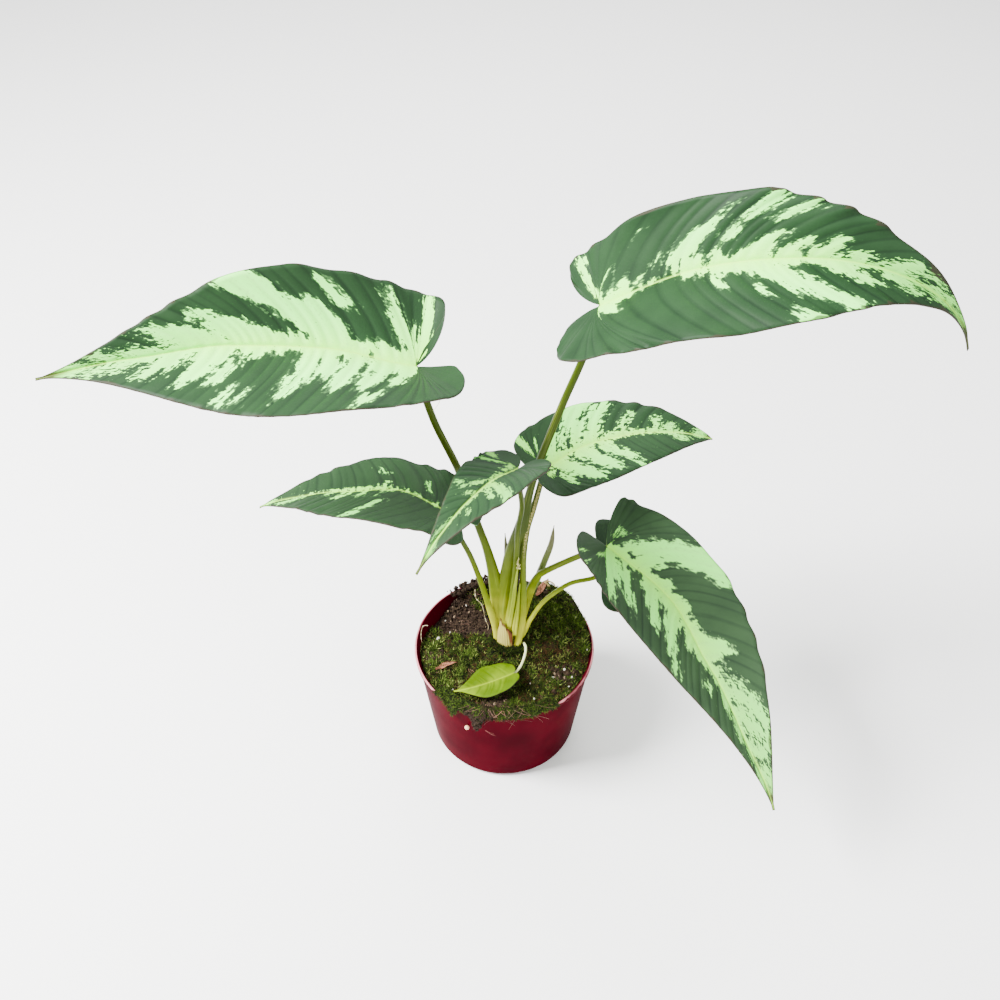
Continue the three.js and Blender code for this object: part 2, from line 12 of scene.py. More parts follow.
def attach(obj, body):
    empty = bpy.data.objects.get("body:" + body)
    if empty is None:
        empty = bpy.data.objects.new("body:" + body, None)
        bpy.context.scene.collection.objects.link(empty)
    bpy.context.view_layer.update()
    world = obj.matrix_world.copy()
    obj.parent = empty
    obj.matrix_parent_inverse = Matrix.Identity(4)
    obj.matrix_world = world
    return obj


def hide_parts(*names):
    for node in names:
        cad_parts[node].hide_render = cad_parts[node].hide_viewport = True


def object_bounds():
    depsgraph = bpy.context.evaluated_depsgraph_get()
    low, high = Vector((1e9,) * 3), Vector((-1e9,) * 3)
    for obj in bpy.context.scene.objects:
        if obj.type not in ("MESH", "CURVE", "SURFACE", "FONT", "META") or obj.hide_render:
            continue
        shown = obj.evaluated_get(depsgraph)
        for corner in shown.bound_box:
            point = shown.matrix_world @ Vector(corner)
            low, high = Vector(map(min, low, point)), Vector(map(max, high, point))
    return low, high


bl_info = {
    "name": "Potted Schismatoglottis",
    "version": (1, 0, 0),
    "blender": (4, 5, 0),
    "location": "3D View > Sidebar > Plant",
    "description": "Dresses the packed plant: variegated blades, stalks, moss, soil and pot",
    "category": "Object",
}

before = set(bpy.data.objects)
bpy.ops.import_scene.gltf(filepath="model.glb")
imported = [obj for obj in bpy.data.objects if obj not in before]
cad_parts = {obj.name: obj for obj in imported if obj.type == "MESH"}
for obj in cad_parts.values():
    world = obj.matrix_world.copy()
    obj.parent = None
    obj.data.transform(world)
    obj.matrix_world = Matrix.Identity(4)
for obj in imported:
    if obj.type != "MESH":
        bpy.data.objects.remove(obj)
CAD_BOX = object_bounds()
MM = 0.001
# Vertices nearer to each other than this, in metres, become one.
MERGE = 2e-6

# Driving dimensions in millimetres, the same as the part's apart from the finer roll of the lip
POT = {"height": 68, "rim": 50, "neck": 49, "base": 41, "wall": 1.3, "floor": 1.8, "corner": 4}
LIP = {"height": 3.2, "step": 0.6, "swell": 0.2, "round": 0.75}
DRAIN = {"count": 6, "radius": 2.5, "circle": 27}
GAP = 0.3
SOIL_LEVEL = 64
EDGE_ROLL, ROLL_START = 0.35, 0.8
MOUNDS = [(34, 27, 18, 18), (-34, 22, -6.5, 12), (2, 5, 5, 12), (-22, 46, 6, 9)]
MOSS = {"thickness": 3, "thinnest": 0.8, "from": -198, "to": 114, "fade": 25, "cushion": 1.1, "size": 14}
FRINGE = {"from": 221, "to": 305, "inside": 6, "thickness": 1.5}
# Where the fringe hangs lower over the lip: the angle, how much lower in mm, and the spread in degrees.
TONGUES = [(236, 12, 3.2), (253, 12.5, 3.8)]
CROWN = {"x": 2.6, "y": 2.4, "radius": 8.4, "hole": 8.9, "top": 69.5, "bottom": 56}
FOOT = CROWN["top"] + GAP
SHEATH = {"radius": 6.6, "top_radius": 5.9, "height": 25, "shortest": 0.54, "corner": 0.5,
          "from": 206, "to": 285}

# The photo's camera, lights and floor, in metres, degrees and watts
CAMERA = {"lens": 39.6, "sensor": 36, "place": (-0.0024, -0.3919, 0.5475), "pitch": 43.28}
LIGHTS = [("key", (-0.85, -0.15, 1.05), 0.5, 98), ("fill", (0.9, -0.8, 0.9), 1.2, 16),
          ("back", (0.2, 1.0, 1.1), 0.8, 15)]
AIM = (0, 0, 0.16)
WORLD_STRENGTH = 1.3
FLOOR = {"size": 8, "below": 0.0002, "colour": (0.86, 0.86, 0.85)}

# Loose things on the ground, in millimetres. A patch of crumbs has a centre, a spread and its share of
# them, a grain of perlite a place and a size, and a patch with hardly any moss a centre and a radius.
CRUMB_PATCHES = [(-30, 28, 14, 3.6), (-4, -37, 7, 1.6), (32, -19, 9, 1.8), (-20, 42, 7, 2.4),
                 (38, 22, 6, 0.8), (-38, -4, 5, 0.6), (20, 32, 5, 1.2), (-12, 21, 6, 1.6)]
FRINGE_CRUMBS, RIM_CRUMBS = 200, 220
# How far crumbs keep from the pot's wall and from the crown's middle.
WALL_SPACE, CROWN_SPACE = 0.9, 9.2
PERLITE = [(-37.5, 9.6, 1.1), (-31, 15.5, 0.55), (-28, -29, 0.7), (33, -16, 0.8), (37, -21, 0.7),
           (28.5, -14, 0.55), (26.5, -21, 0.6), (16, -35, 0.6), (14, -25, 0.5), (30, 2, 0.5), (46, -4, 0.6),
           (-22, 32, 0.6), (-34, 25, 0.5), (35, -27, 0.5), (-14, -33, 0.5), (40, 12, 0.5), (-41, -12, 0.5),
           (10, 40, 0.6), (-12, 36, 0.5), (24, 30, 0.5)]
BARE_MOSS = [(-4, -38, 5), (33, -20, 7), (38, 22, 4)]
PELLET = {"place": (-20.2, -44.2, 51.6), "radius": 1.3}
# Roots over the lip, on the bare soil and in the moss, and how far from the pot's middle the last two reach.
ROOTS = {"lip": 22, "bare": 12, "moss": 26, "reach": 44}
# A random turn, in radians, runs up to this, which is just over a whole circle.
TURN = 6.3
STRAND_TONES = {"white": (206, 196, 158), "dry": (196, 176, 112), "brown": (92, 58, 36),
                "pink": (150, 84, 78), "straw": (226, 232, 150), "shade": (40, 40, 16)}
UP = np.array((0, 0, 1))

# For each blade: how its greens differ and how light its markings are, partly the blade's own tone and
# partly painted light and shade for where it lies; how much flecks break them up, and how brown its tip is.
BLADE_LOOKS = {
    "upper_left": ((0.8, 0.8, 0.82), 1.0, 0.35, 0.9),
    "upper_right": ((0.76, 0.8, 0.8), 1.0, 0.35, 0.9),
    "lower_right": ((1.5, 1.12, 1.4), 0.72, 0.6, 0.4),
    "middle_right": ((0.96, 0.92, 0.96), 0.92, 1.4, 0),
    "middle_left": ((1.15, 1.04, 1.1), 0.92, 0.9, 0),
    "centre": ((1.0, 0.92, 1.0), 0.5, 1.0, 0.8),
    "hidden": ((0.6, 0.6, 0.6), 0.6, 0.4, 0),
    "lime": ((1, 1, 1), 1, 0, 0),
}

# Roots and dry strands: the points that each passes, its radius, and its finish.
# The shade strands are not roots: they are dark strands of painted shade in the slits between the stalks.
STRANDS = [
    ([(-43.2, 13, 68.5), (-46, 13.1, 67.8), (-47, 8.8, 66.6), (-46.4, 3.1, 65.8)], 0.2, "white"),
    ([(-16.9, 36.5, 73), (-16.2, 28.8, 74), (-12.7, 24.4, 73), (-10.9, 16.3, 71)], 0.2, "white"),
    ([(-10.9, 16.3, 71), (-9, 11, 69.8), (-9.5, 8, 69.6)], 0.16, "white"),
    ([(6.6, -1.3, 131), (7.2, -1.5, 133), (6.7, -1.6, 135.5), (7.3, -1.3, 139)], 0.6, "straw"),
    ([(7.9, -1.4, 131), (7.2, -1.7, 132.6), (8.2, -1.2, 134)], 0.5, "straw"),
    ([(-37.5, 15, 247.3), (-33.4, 14, 236), (-31.2, 14, 233), (-30.5, 14.5, 229), (-32.6, 15, 224),
      (-35.2, 16.6, 220)], 0.13, "straw"),
    ([(7.9, -0.2, 127), (7.2, -0.2, 118), (6.5, -0.4, 110)], 0.4, "shade"),
    ([(6.7, -2.6, 82), (7.2, -1.9, 87), (7.6, -1.5, 92)], 0.3, "shade"),
    ([(16, 24, 72), (19, 27, 75), (22, 31, 77), (26, 32, 80)], 0.6, "brown"),
    ([(22, 33, 76), (24, 36, 80), (28, 34, 81), (30, 31, 78)], 0.5, "dry"),
    ([(27, 31, 77), (25, 33, 80.5), (22.5, 35.5, 81)], 0.7, "dry"),
    ([(-8.3, -49.5, 54.5), (-7, -49.3, 52.6), (-4.5, -48.6, 50)], 0.15, "pink"),
    ([(-10, -50.4, 57.5), (-8, -50.2, 55.5), (-5.4, -49.6, 53.4)], 0.13, "pink"),
]

# Blades: sizes in mm, angles in degrees, and the rest as shares of the length or of half the width.
BLADE_SHAPES = {
    "upper_left": dict(
        junction=(-40.7, 15, 248.2), length=165, width=84.5, heading=194, rise=17, droop=27.5, roll=-6.5,
        sweep=-6, twist=-35, fold=25, lobe=0.08, widest=0.29, shoulder=1.07, tip_pull=0.71, tip_width=0.16,
        left_half=1.2, right_lobe=[(0, 0.07), (-0.055, 0.43), (-0.255, 1)], lobe_drop=-30,
        bow=(-0.14, -0.13, -0.04), density=1),
    "upper_right": dict(
        junction=(41.7, 20, 277.6), length=187, width=77, heading=-30.5, rise=36.5, droop=107, roll=36,
        sweep=40, twist=11.5, fold=24, lobe=0.08, widest=0.3, shoulder=1.1, tip_pull=0.66, tip_width=0.17,
        left_half=0.8, left_lobe=[(0, 0.07), (-0.05, 0.36), (-0.24, 0.96)], lobe_drop=0, droop_power=1.8,
        bow=(0.05, 0.02, 0), ripple=1.2, waves=7, frill=1.0, relief=0.7, density=1),
    "lower_right": dict(
        junction=(52.1, 0, 146.2), length=155, width=75.5, heading=-34.5, rise=-19.5, droop=22, roll=-9.5,
        sweep=-40, twist=29, fold=17.5, lobe=0.09, widest=0.16, shoulder=0.75, tip_pull=0.75, tip_width=0.18,
        left_half=0.94, left_lobe=[(0, 0.07), (0, 0.41), (-0.23, 1)],
        lobe_drop=-12, bow=(0.07, -0.08, -0.1), frill=0.55, relief=0.75, density=1),
    "middle_right": dict(
        junction=(19.9, 24, 177.3), length=100.5, width=49.5, heading=32.5, rise=8.5, droop=33.5, roll=9.5,
        sweep=-23.5, twist=4.5, fold=6, lobe=0.08, widest=0.29, shoulder=0.9, tip_pull=0.9, tip_width=0.23,
        left_half=1.08, lobe_drop=-20, bow=(0.09, 0.05, 0.02)),
    "middle_left": dict(
        junction=(-27.2, -14, 184.3), length=107.5, width=53, heading=154, rise=1.5, droop=36, roll=12,
        sweep=20, twist=-13.5, fold=8, lobe=0.12, widest=0.3, shoulder=0.96, tip_pull=0.84, tip_width=0.19,
        left_half=1.12, lobe_drop=40, bow=(-0.2, 0.05, 0.1), right_tip_pull=0.66),
    "centre": dict(
        junction=(5.6, -25, 221.5), length=75, width=35.5, heading=239.5, rise=19, droop=67.5, roll=8,
        sweep=-16.5, twist=-4, fold=14.5, lobe=0.12, widest=0.19, shoulder=0.9, tip_pull=0.69, tip_width=0.15,
        left_half=1, lobe_drop=-6, bow=(-0.16, -0.14, -0.08)),
    "hidden": dict(
        junction=(60.4, 11.4, 117), length=79, width=59.5, heading=1.5, rise=-13.5, droop=30, roll=3, sweep=0,
        twist=0, fold=6, lobe=0.145, lobe_out=0.78, widest=0.245, shoulder=1.3, tip_pull=0.75, tip_width=0.17,
        left_half=1, lobe_drop=0),
    "lime": dict(
        junction=(4.6, -23, 71.5), length=33.4, width=20, heading=201.5, rise=-10, droop=-8.5, roll=12,
        sweep=-10.5, twist=-32, fold=6, lobe=0.07, widest=0.35, shoulder=0.62, tip_pull=0.75, tip_width=0.16,
        left_half=1.03, lobe_drop=4, frill=0, ripple=0.3, relief=1.1, density=0.36),
}
SHAPE_DEFAULTS = dict(
    frill=0.5, lobe_out=0.3, droop_power=1.4, bow=(0, 0, 0), ripple=0.5, waves=4, relief=1, density=0.7)
# Columns and rows of the sheets that blades longer than the given length, in mm, are made of.
BLADE_SHEETS = [(120, 48, 264), (50, 32, 176), (0, 24, 120)]
KEEL, KEEL_WIDTH, TIP_REACH, VEIN_LEAD, VEIN_BEND, TIP_HALF = 1.0, 0.25, 0.28, 0.17, 1.6, 0.5
INSET, FAN_END, FAN_THINNING = 0.965, 0.4, 0.5

# Pale markings, drawn on each blade laid flat: strokes from (u, v) to (u, v) with the half
# height at either end. u runs from the right margin to the left, v from the lobes to the tip.
PALE_STROKES = {
    "upper_left": [
        (.05, .325, .32, .315, .016, .026), (.34, .31, .43, .38, .030, .018),
        (.43, .36, .46, .42, .018, .020), (.26, .375, .42, .39, .010, .024),
        (.08, .425, .34, .43, .006, .018), (.11, .507, .20, .505, .013, .011),
        (.46, .43, .46, .90, .008, .020), (.26, .565, .45, .56, .020, .040),
        (.03, .64, .44, .585, .034, .014), (.30, .735, .45, .71, .030, .050),
        (.14, .745, .30, .735, .012, .010), (.07, .82, .45, .79, .010, .050),
        (.25, .88, .50, .88, .014, .040), (.08, .91, .90, .93, .010, .012),
        (.10, .975, .90, .975, .030, .030), (.50, .44, .74, .445, .028, .012),
        (.50, .48, .81, .485, .028, .012), (.50, .53, .80, .53, .028, .012),
        (.50, .575, .74, .56, .030, .010), (.50, .60, .87, .60, .026, .008),
        (.92, .46, .94, .46, .014, .012), (.88, .665, .94, .665, .004, .009),
        (.86, .69, .94, .69, .005, .005), (.50, .655, .55, .66, .028, .010),
        (.62, .725, .80, .73, .009, .013), (.50, .77, .86, .775, .040, .013),
        (.50, .83, .86, .85, .040, .008), (.50, .90, .80, .90, .024, .008)],
    "upper_right": [
        (.40, .435, .50, .44, .008, .018), (.38, .47, .47, .46, .003, .010),
        (.51, .44, .51, .59, -.002, .000), (.50, .59, .49, .90, .002, .022),
        (.34, .61, .38, .605, .004, .004), (.23, .655, .27, .655, .003, .003),
        (.18, .69, .22, .69, .002, .002), (.00, .66, .07, .665, .024, .008),
        (.05, .745, .46, .69, .016, .030), (.22, .815, .45, .80, .013, .028),
        (.15, .875, .45, .88, .010, .028), (.20, .93, .90, .93, .016, .016),
        (.05, .975, .95, .975, .022, .022), (.56, .42, .61, .345, .008, .012),
        (.62, .325, .92, .325, .012, .016), (.50, .45, .62, .44, .018, .006),
        (.66, .45, .90, .47, -.005, -.008), (.60, .50, .76, .535, -.005, -.008),
        (.50, .48, .58, .475, .016, .008), (.60, .548, .76, .565, .022, .016),
        (.78, .565, .88, .567, .010, .004), (.52, .575, .66, .56, .020, .008),
        (.72, .615, .77, .615, .010, .007), (.82, .617, .96, .617, .007, .011),
        (.85, .66, .94, .665, .008, .011), (.50, .62, .58, .61, .028, .008),
        (.50, .67, .74, .69, .036, .005), (.50, .73, .72, .735, .026, .004),
        (.50, .78, .80, .77, .028, .004), (.50, .83, .70, .82, .028, .005),
        (.50, .88, .86, .865, .028, .010), (.78, .885, .92, .89, .008, .008)],
    "lower_right": [
        (.28, .28, .39, .48, .006, .006), (.08, .49, .48, .53, .020, .028),
        (.16, .56, .38, .55, .012, .012), (.20, .63, .48, .61, .012, .026),
        (.14, .68, .50, .67, .010, .030), (.07, .695, .10, .695, .009, .009),
        (.36, .725, .50, .73, .008, .030), (.43, .77, .50, .77, .012, .024),
        (.22, .785, .28, .785, .004, .004), (.30, .85, .50, .83, .005, .028),
        (.20, .885, .50, .88, .005, .026), (.25, .92, .50, .92, .008, .020),
        (.00, .95, 1.0, .95, .018, .018), (.05, .19, .12, .21, .004, .004),
        (.03, .28, .08, .28, .002, .002), (.51, .49, .52, .90, .012, .018),
        (.61, .46, .63, .34, .000, .000), (.66, .48, .69, .38, .004, .004),
        (.94, .20, .97, .20, .010, .010), (.62, .54, .98, .575, .018, .045),
        (.55, .575, .70, .57, .018, .018), (.50, .62, .58, .63, .028, .008),
        (.50, .68, .58, .67, .028, .008), (.50, .755, .80, .745, .036, .005),
        (.50, .80, .60, .79, .022, .005), (.62, .80, .80, .81, .005, .006),
        (.50, .83, .90, .84, .012, .022), (.50, .87, .94, .875, .020, .018),
        (.50, .91, .88, .91, .018, .012)],
    "middle_right": [
        (.14, .49, .50, .48, .026, .030), (.18, .40, .28, .44, .014, .016),
        (.18, .565, .50, .56, .026, .030), (.18, .635, .45, .62, .018, .020),
        (.02, .62, .10, .63, .008, .008), (.52, .44, .53, .86, .014, .016),
        (.37, .22, .42, .42, .008, .010), (.80, .26, .94, .23, .028, .026),
        (.75, .385, .79, .38, .011, .010), (.55, .46, .75, .50, .022, .022),
        (.62, .55, .96, .53, .032, .040), (.55, .60, .90, .60, .026, .024),
        (.55, .69, .83, .69, .005, .010), (.60, .79, .83, .77, .007, .008),
        (.22, .855, .50, .83, .016, .020), (.50, .83, .75, .82, .018, .012),
        (.30, .93, 1.0, .93, .018, .024)],
    "middle_left": [
        (.50, .45, .48, .60, -.003, .000), (.47, .60, .47, .76, .005, .005),
        (.40, .61, .47, .62, .004, .010), (.50, .60, .61, .61, .010, .004),
        (.50, .66, .63, .66, .010, .004), (.50, .70, .70, .715, .012, .005),
        (.50, .75, .62, .76, .010, .004), (.73, .575, .95, .57, .007, .011),
        (.27, .49, .35, .49, .004, .004), (.18, .61, .23, .605, .004, .004),
        (.48, .78, .52, .88, .001, .001), (.60, .84, .88, .88, .010, .016),
        (.30, .96, 1.0, .96, .014, .022), (.02, .21, .24, .18, .006, .009),
        (.70, .15, .95, .19, .008, .012)],
    "centre": [
        (.03, .29, .12, .35, .026, .018), (.06, .44, .26, .46, .018, .024),
        (.38, .28, .42, .50, .006, .010), (.42, .50, .47, .60, .008, .006),
        (.47, .60, .50, .64, .010, .010), (.53, .64, .55, .86, .004, .004),
        (.06, .66, .12, .66, .007, .007), (.18, .69, .40, .665, .007, .010),
        (.30, .73, .45, .73, .006, .009), (.56, .66, .95, .63, .018, .018),
        (.60, .69, .80, .69, .010, .008), (.72, .785, .80, .785, .004, .004),
        (.12, .89, .50, .86, .010, .016), (.00, .94, 1.0, .94, .020, .020)],
    "hidden": [
        (.50, .44, .50, .90, .010, .014), (.20, .55, .48, .52, .012, .020),
        (.52, .62, .80, .64, .018, .010)],
    "lime": [],
}
DARK_STROKES = {
    "upper_left": [(.14, .690, .39, .645, .016, .008), (.56, .506, .67, .508, .003, .003),
                   (.55, .730, .72, .715, .004, .002), (.60, .803, .85, .795, .002, .003),
                   (.57, .545, .66, .55, .003, .003)],
    "upper_right": [(.57, .545, .58, .545, .004, .004)],
    "lower_right": [(.30, .590, .49, .585, .007, .005), (.34, .535, .46, .545, .003, .003)],
    "middle_right": [(.60, .530, .70, .53, .008, .006), (.28, .525, .42, .525, .005, .004),
                     (.10, .600, .34, .60, .004, .004), (.56, .575, .80, .58, .002, .004),
                     (.62, .500, .80, .505, .003, .003), (.55, .630, .85, .625, .004, .004),
                     (.84, .565, .92, .57, .008, .006)],
}
STROKE_SQUASH = 0.3
STROKE_SOFTNESS = 0.055

# Stalks: the foot on the crown, the points that the stalk climbs through, and its radii, in mm.
STALKS = {
    "upper_right": ((3, 4.6), [(3, 6.2, 98), (6.3, 6.6, 129), (9.4, 7, 151), (13.8, 9, 183), (25.8, 14, 223),
                                 (35.5, 18.5, 250)], 3.4, 2.2, 1.7),
    "upper_left": ((-1.4, 4.6), [(-2.2, 6, 90), (-5.7, 7, 117), (-9.3, 9, 135), (-14.6, 12, 153),
                                 (-22.8, 17, 182), (-34, 17.5, 214)], 3.3, 2.2, 1.7),
    "middle_right": ((6.8, -3.2), [(8.1, -1.4, 76), (9.6, 0, 88), (9.9, 1, 104), (9.7, 2.4, 122),
                                   (9.8, 4, 135), (11.4, 7, 151), (14.8, 11.5, 163)], 1.8, 2.0, 1.5),
    "centre": ((2.4, -0.4), [(2.9, -0.6, 88), (4.3, -0.2, 106), (5.5, 0.6, 125), (6.2, 0.8, 142),
                             (6.6, 0, 158), (8.2, -5, 178), (7, -14, 198)], 1.8, 1.7, 1.2),
    "middle_left": ((-3.8, 2.4), [(-4.8, 3, 80), (-7.8, 2, 95), (-12, 0, 117), (-17.1, -5, 143),
                                  (-22.6, -10, 164)], 2.0, 1.7, 1.2),
    "lower_right": ((6, 6.4), [(9.8, 8.6, 86), (13, 8, 100), (16.8, 7, 114), (21.4, 5, 122), (38.8, 1, 138)],
                    2.2, 1.9, 1.5),
    "hidden": ((8.4, 2.4), [(9.8, 1.8, 73.6), (11.4, 1, 79), (14.5, 0, 90), (21.8, 2, 102.5), (34.5, 6, 111),
                            (46.5, 9, 112)], 1.6, 1.3, 1.2),
    "lime": ((9.6, -0.8), [(10.8, -2.4, 71.6), (11.8, -6, 72), (11, -11, 70.6), (8.6, -17, 69.2)],
             0.8, 0.7, 0.65),
}
# How far the sheath of a stalk spreads to its left and right, in mm, and the shares of the stalk between
# which it runs out.
SHEATHING = {"upper_right": (5, 0.9, 0.28, 0.52), "upper_left": (2.4, 2.8, 0.04, 0.44),
             "middle_right": (0.5, 0.5, 0, 0.5), "centre": (1.1, 1.1, 0, 0.4),
             "middle_left": (0.4, 0.4, 0, 0.4), "lower_right": (1.6, 1.6, 0, 0.7)}
# Pale torn strips of old sheath: the points passed, half the width, and the share where the tip begins.
STRIPS = [
    ([(2.4, -2.6, 86), (3.2, -2.6, 92), (4.6, -2.3, 106), (5.9, -1.7, 122), (6.8, -1.4, 132)], 0.8, 0.5),
    ([(5.3, -3.4, 80), (5.9, -2.6, 88), (7.0, -1.9, 101), (7.7, -1.1, 112), (8.1, -0.8, 119)], 1.2, 0.2),
]
SHOOTS = {
    "shoot_right": (1.9, [(5.4, 8, FOOT), (10.6, 10.2, 88), (17, 10.8, 107.5), (21.4, 10.6, 125),
                          (24.3, 10.6, 137), (25.4, 11, 150)]),
    "shoot_left": (1.3, [(0.8, 9, FOOT), (0.8, 9.8, 88), (1, 10.2, 112), (0.8, 10.2, 132), (0.2, 10, 145.4)]),
}
SCRAPS = {
    "withered_scrap_left": dict(
        at=(-32.7, -12.5), length=12, width=2.6, turn=20, curl=80, lift=1.1, bend=-0.05),
    "withered_scrap_right": dict(
        at=(22, 33), length=15, width=4, turn=62, curl=80, lift=0.6, bend=0),
}


def linear(channel):
    return channel / 255 / 12.92 if channel < 10.3 else ((channel / 255 + 0.055) / 1.055) ** 2.4


def srgb(red, green, blue):
    """A colour as seen on screen, 0 to 255, turned to the linear values that the shaders take."""
    return tuple(linear(channel) for channel in (red, green, blue))


def length_property(name, description, default):
    return FloatProperty(name=name, description=description, default=default, min=0, unit="LENGTH",
                         subtype="DISTANCE", precision=5)


def colour_property(name, description, red, green, blue):
    return FloatVectorProperty(name=name, description=description, default=srgb(red, green, blue),
                               min=0, max=1, size=3, subtype="COLOR")


class PlantSizes(bpy.types.PropertyGroup):
    """Sizes that a user would change."""

    blade_thickness: length_property("Blade thickness", "Thickness of a leaf blade", 0.00055)
    vein_depth: length_property("Vein depth", "How deep the side veins sink between their ridges", 0.0007)
    groove_depth: length_property("Midrib groove", "Depth of the groove over the midrib", 0.00045)
    veins: IntProperty(name="Side veins", description="Side veins in each half length", default=22, min=4)
    sprig_height: length_property("Moss height", "Height of a sprig of moss", 0.0026)
    sprigs: IntProperty(name="Moss sprigs", description="Number of moss sprigs", default=13000, min=100)
    crumbs: IntProperty(name="Soil crumbs", description="Number of loose crumbs on the soil",
                        default=2600, min=10)
    root_radius: length_property("Root radius", "Radius of the fine roots", 0.00012)


class PlantColours(bpy.types.PropertyGroup):
    """Colours that a user would change."""

    blade: colour_property("Blade", "Dark green of the blades", 33, 60, 32)
    # The deep green is partly the blade's own darker tone and partly painted shade in the valleys between the
    # vein ridges.
    blade_deep_and_valley_shade: colour_property("Blade, deep", "Deeper green between the veins", 20, 40, 22)
    marking: colour_property("Marking", "Pale mint of the markings", 140, 255, 106)
    marking_warm: colour_property("Marking, warm", "Yellower markings by the midrib", 164, 250, 74)
    midrib: colour_property("Midrib", "Midrib on the upper side", 166, 226, 72)
    margin: colour_property("Margin", "Thin edge of a blade", 46, 42, 30)
    underside: colour_property("Underside", "Lower side of a blade", 84, 120, 72)
    stalk_foot: colour_property("Stalk foot", "Pale foot of a stalk", 186, 186, 50)
    stalk_middle: colour_property("Stalk", "Stalk above its foot", 98, 114, 0)
    stalk_top: colour_property("Stalk, upper part", "Olive upper part of a stalk", 44, 58, 0)
    shoot_tip: colour_property("Shoot tip", "Dry tip of a young shoot", 84, 74, 50)
    papery: colour_property("Papery sheath", "Dry skin at the foot", 178, 162, 90)
    papery_dark: colour_property("Papery sheath, dark", "Browned part of the dry skin", 116, 70, 40)
    plastic: colour_property("Pot", "Crimson plastic", 62, 0, 12)
    # The lip colour is a painted highlight on the outer edge of the lip.
    lip_highlight_colour: colour_property("Pot lip", "Worn edge of the lip", 196, 122, 130)
    soil: colour_property("Soil", "Damp peat", 34, 24, 18)
    soil_light: colour_property("Soil, dry", "Dry crumbs and bark", 56, 44, 33)
    moss: colour_property("Moss", "Moss in the light", 56, 72, 20)
    # The deep moss is moss in shade: painted shade between the sprigs and on whole sprigs.
    moss_in_shade: colour_property("Moss, deep", "Moss between the sprigs", 15, 19, 8)
    lime: colour_property("Lime leaf", "Young leaf on the moss", 62, 84, 0)
    withered: colour_property("Withered scrap", "Dead leaf scraps", 84, 44, 30)
    root: colour_property("Root", "Fine roots", 128, 88, 70)
    perlite: colour_property("Perlite", "White grains in the soil", 222, 218, 206)
    pellet: colour_property("Pellet", "Round fertiliser pellet", 222, 178, 138)


# Shader building
def math_methods(operation):
    """The two methods of one operation: with the value first, and with it second."""
    def first(value, other):
        return value.finish.node("ShaderNodeMath", {"operation": operation}, {0: value, 1: other})

    def second(value, other):
        return value.finish.node("ShaderNodeMath", {"operation": operation}, {0: other, 1: value})

    return first, second


class Value:
    """A socket of a finish. Sums with it add Math nodes."""

    def __init__(self, finish, socket):
        self.finish, self.socket = finish, socket

    __add__, __radd__ = math_methods("ADD")
    __sub__, __rsub__ = math_methods("SUBTRACT")
    __mul__, __rmul__ = math_methods("MULTIPLY")
    __pow__, __rpow__ = math_methods("POWER")


class Finish:
    """One material and the nodes of its finish."""

    def __init__(self, name, roughness=0.5, **constants):
        self.material = bpy.data.materials.new(name)
        self.material.use_nodes = True
        self.tree = self.material.node_tree
        self.shader = self.tree.nodes["Principled BSDF"]
        self.set(Roughness=roughness, **constants)

    def set(self, **sockets):
        for name, value in sockets.items():
            self.plug(value, self.shader.inputs[name.replace("_", " ")])

    def plug(self, value, socket):
        if isinstance(value, Value):
            self.tree.links.new(value.socket, socket)
        elif hasattr(socket.default_value, "__len__") and len(socket.default_value) == 4 and len(value) == 3:
            socket.default_value = (*value, 1)
        else:
            socket.default_value = value

    def node(self, kind, settings=None, sockets=None, output=0):
        node = self.tree.nodes.new(kind)
        for name, value in (settings or {}).items():
            setattr(node, name, value)
        for key, value in (sockets or {}).items():
            self.plug(value, node.inputs[key])
        return Value(self, node.outputs[output])

    def attribute(self, name, output="Vector"):
        return self.node("ShaderNodeAttribute", {"attribute_name": name}, output=output)

    def split(self, vector):
        node = self.tree.nodes.new("ShaderNodeSeparateXYZ")
        self.plug(vector, node.inputs[0])
        return [Value(self, socket) for socket in node.outputs]

    def join(self, x, y, z=0.0):
        return self.node("ShaderNodeCombineXYZ", None, {0: x, 1: y, 2: z})

    def place(self):
        return self.node("ShaderNodeTexCoord", output="Object")

    def map(self):
        return self.split(self.node("ShaderNodeTexCoord", output="UV"))

    def noise(self, vector, scale, detail=2.0, roughness=0.5):
        return self.node("ShaderNodeTexNoise", {"noise_dimensions": "3D"},
                         {"Vector": vector, "Scale": scale, "Detail": detail, "Roughness": roughness})

    def streaks(self, u, v, across, along, seed, detail=2.0):
        """Noise stretched along a leaf or a stalk, by how fine it is across and along."""
        return self.noise(self.join(u * across, v * along, seed), 1.0, detail)

    def step(self, value, low, high):
        return self.node("ShaderNodeMapRange", {"interpolation_type": "SMOOTHSTEP"},
                         {"Value": value, "From Min": low, "From Max": high})

    def blend(self, factor, first, second, mode="MIX"):
        return self.node("ShaderNodeMix", {"data_type": "RGBA", "blend_type": mode},
                         {0: factor, 6: first, 7: second}, output=2)

    def fade(self, value, low, high, first, second):
        """Goes from the first colour to the second as value climbs from low to high."""
        return self.blend(self.step(value, low, high), first, second)

    def bump(self, height, distance, strength=1.0):
        self.set(Normal=self.node("ShaderNodeBump", None, {"Strength": strength, "Distance": distance,
                                                           "Height": height}))


def wavering(name, scale, detail, low, high, first, second,
             roughness=0.5, swing=0.0, relief=0.0, **constants):
    """A finish that wavers between two colours, and where swing or relief is given, also in roughness
    or height."""
    finish = Finish(name, roughness, **constants)
    cloud = finish.noise(finish.place(), scale, detail)
    finish.set(Base_Color=finish.fade(cloud, low, high, first, second))
    if swing:
        finish.set(Roughness=roughness + swing * cloud)
    if relief:
        finish.bump(cloud, relief)
    return finish


# Mesh building
def smooth(t):
    c = np.clip(t, 0, 1)
    return c * c * (3 - 2 * c)


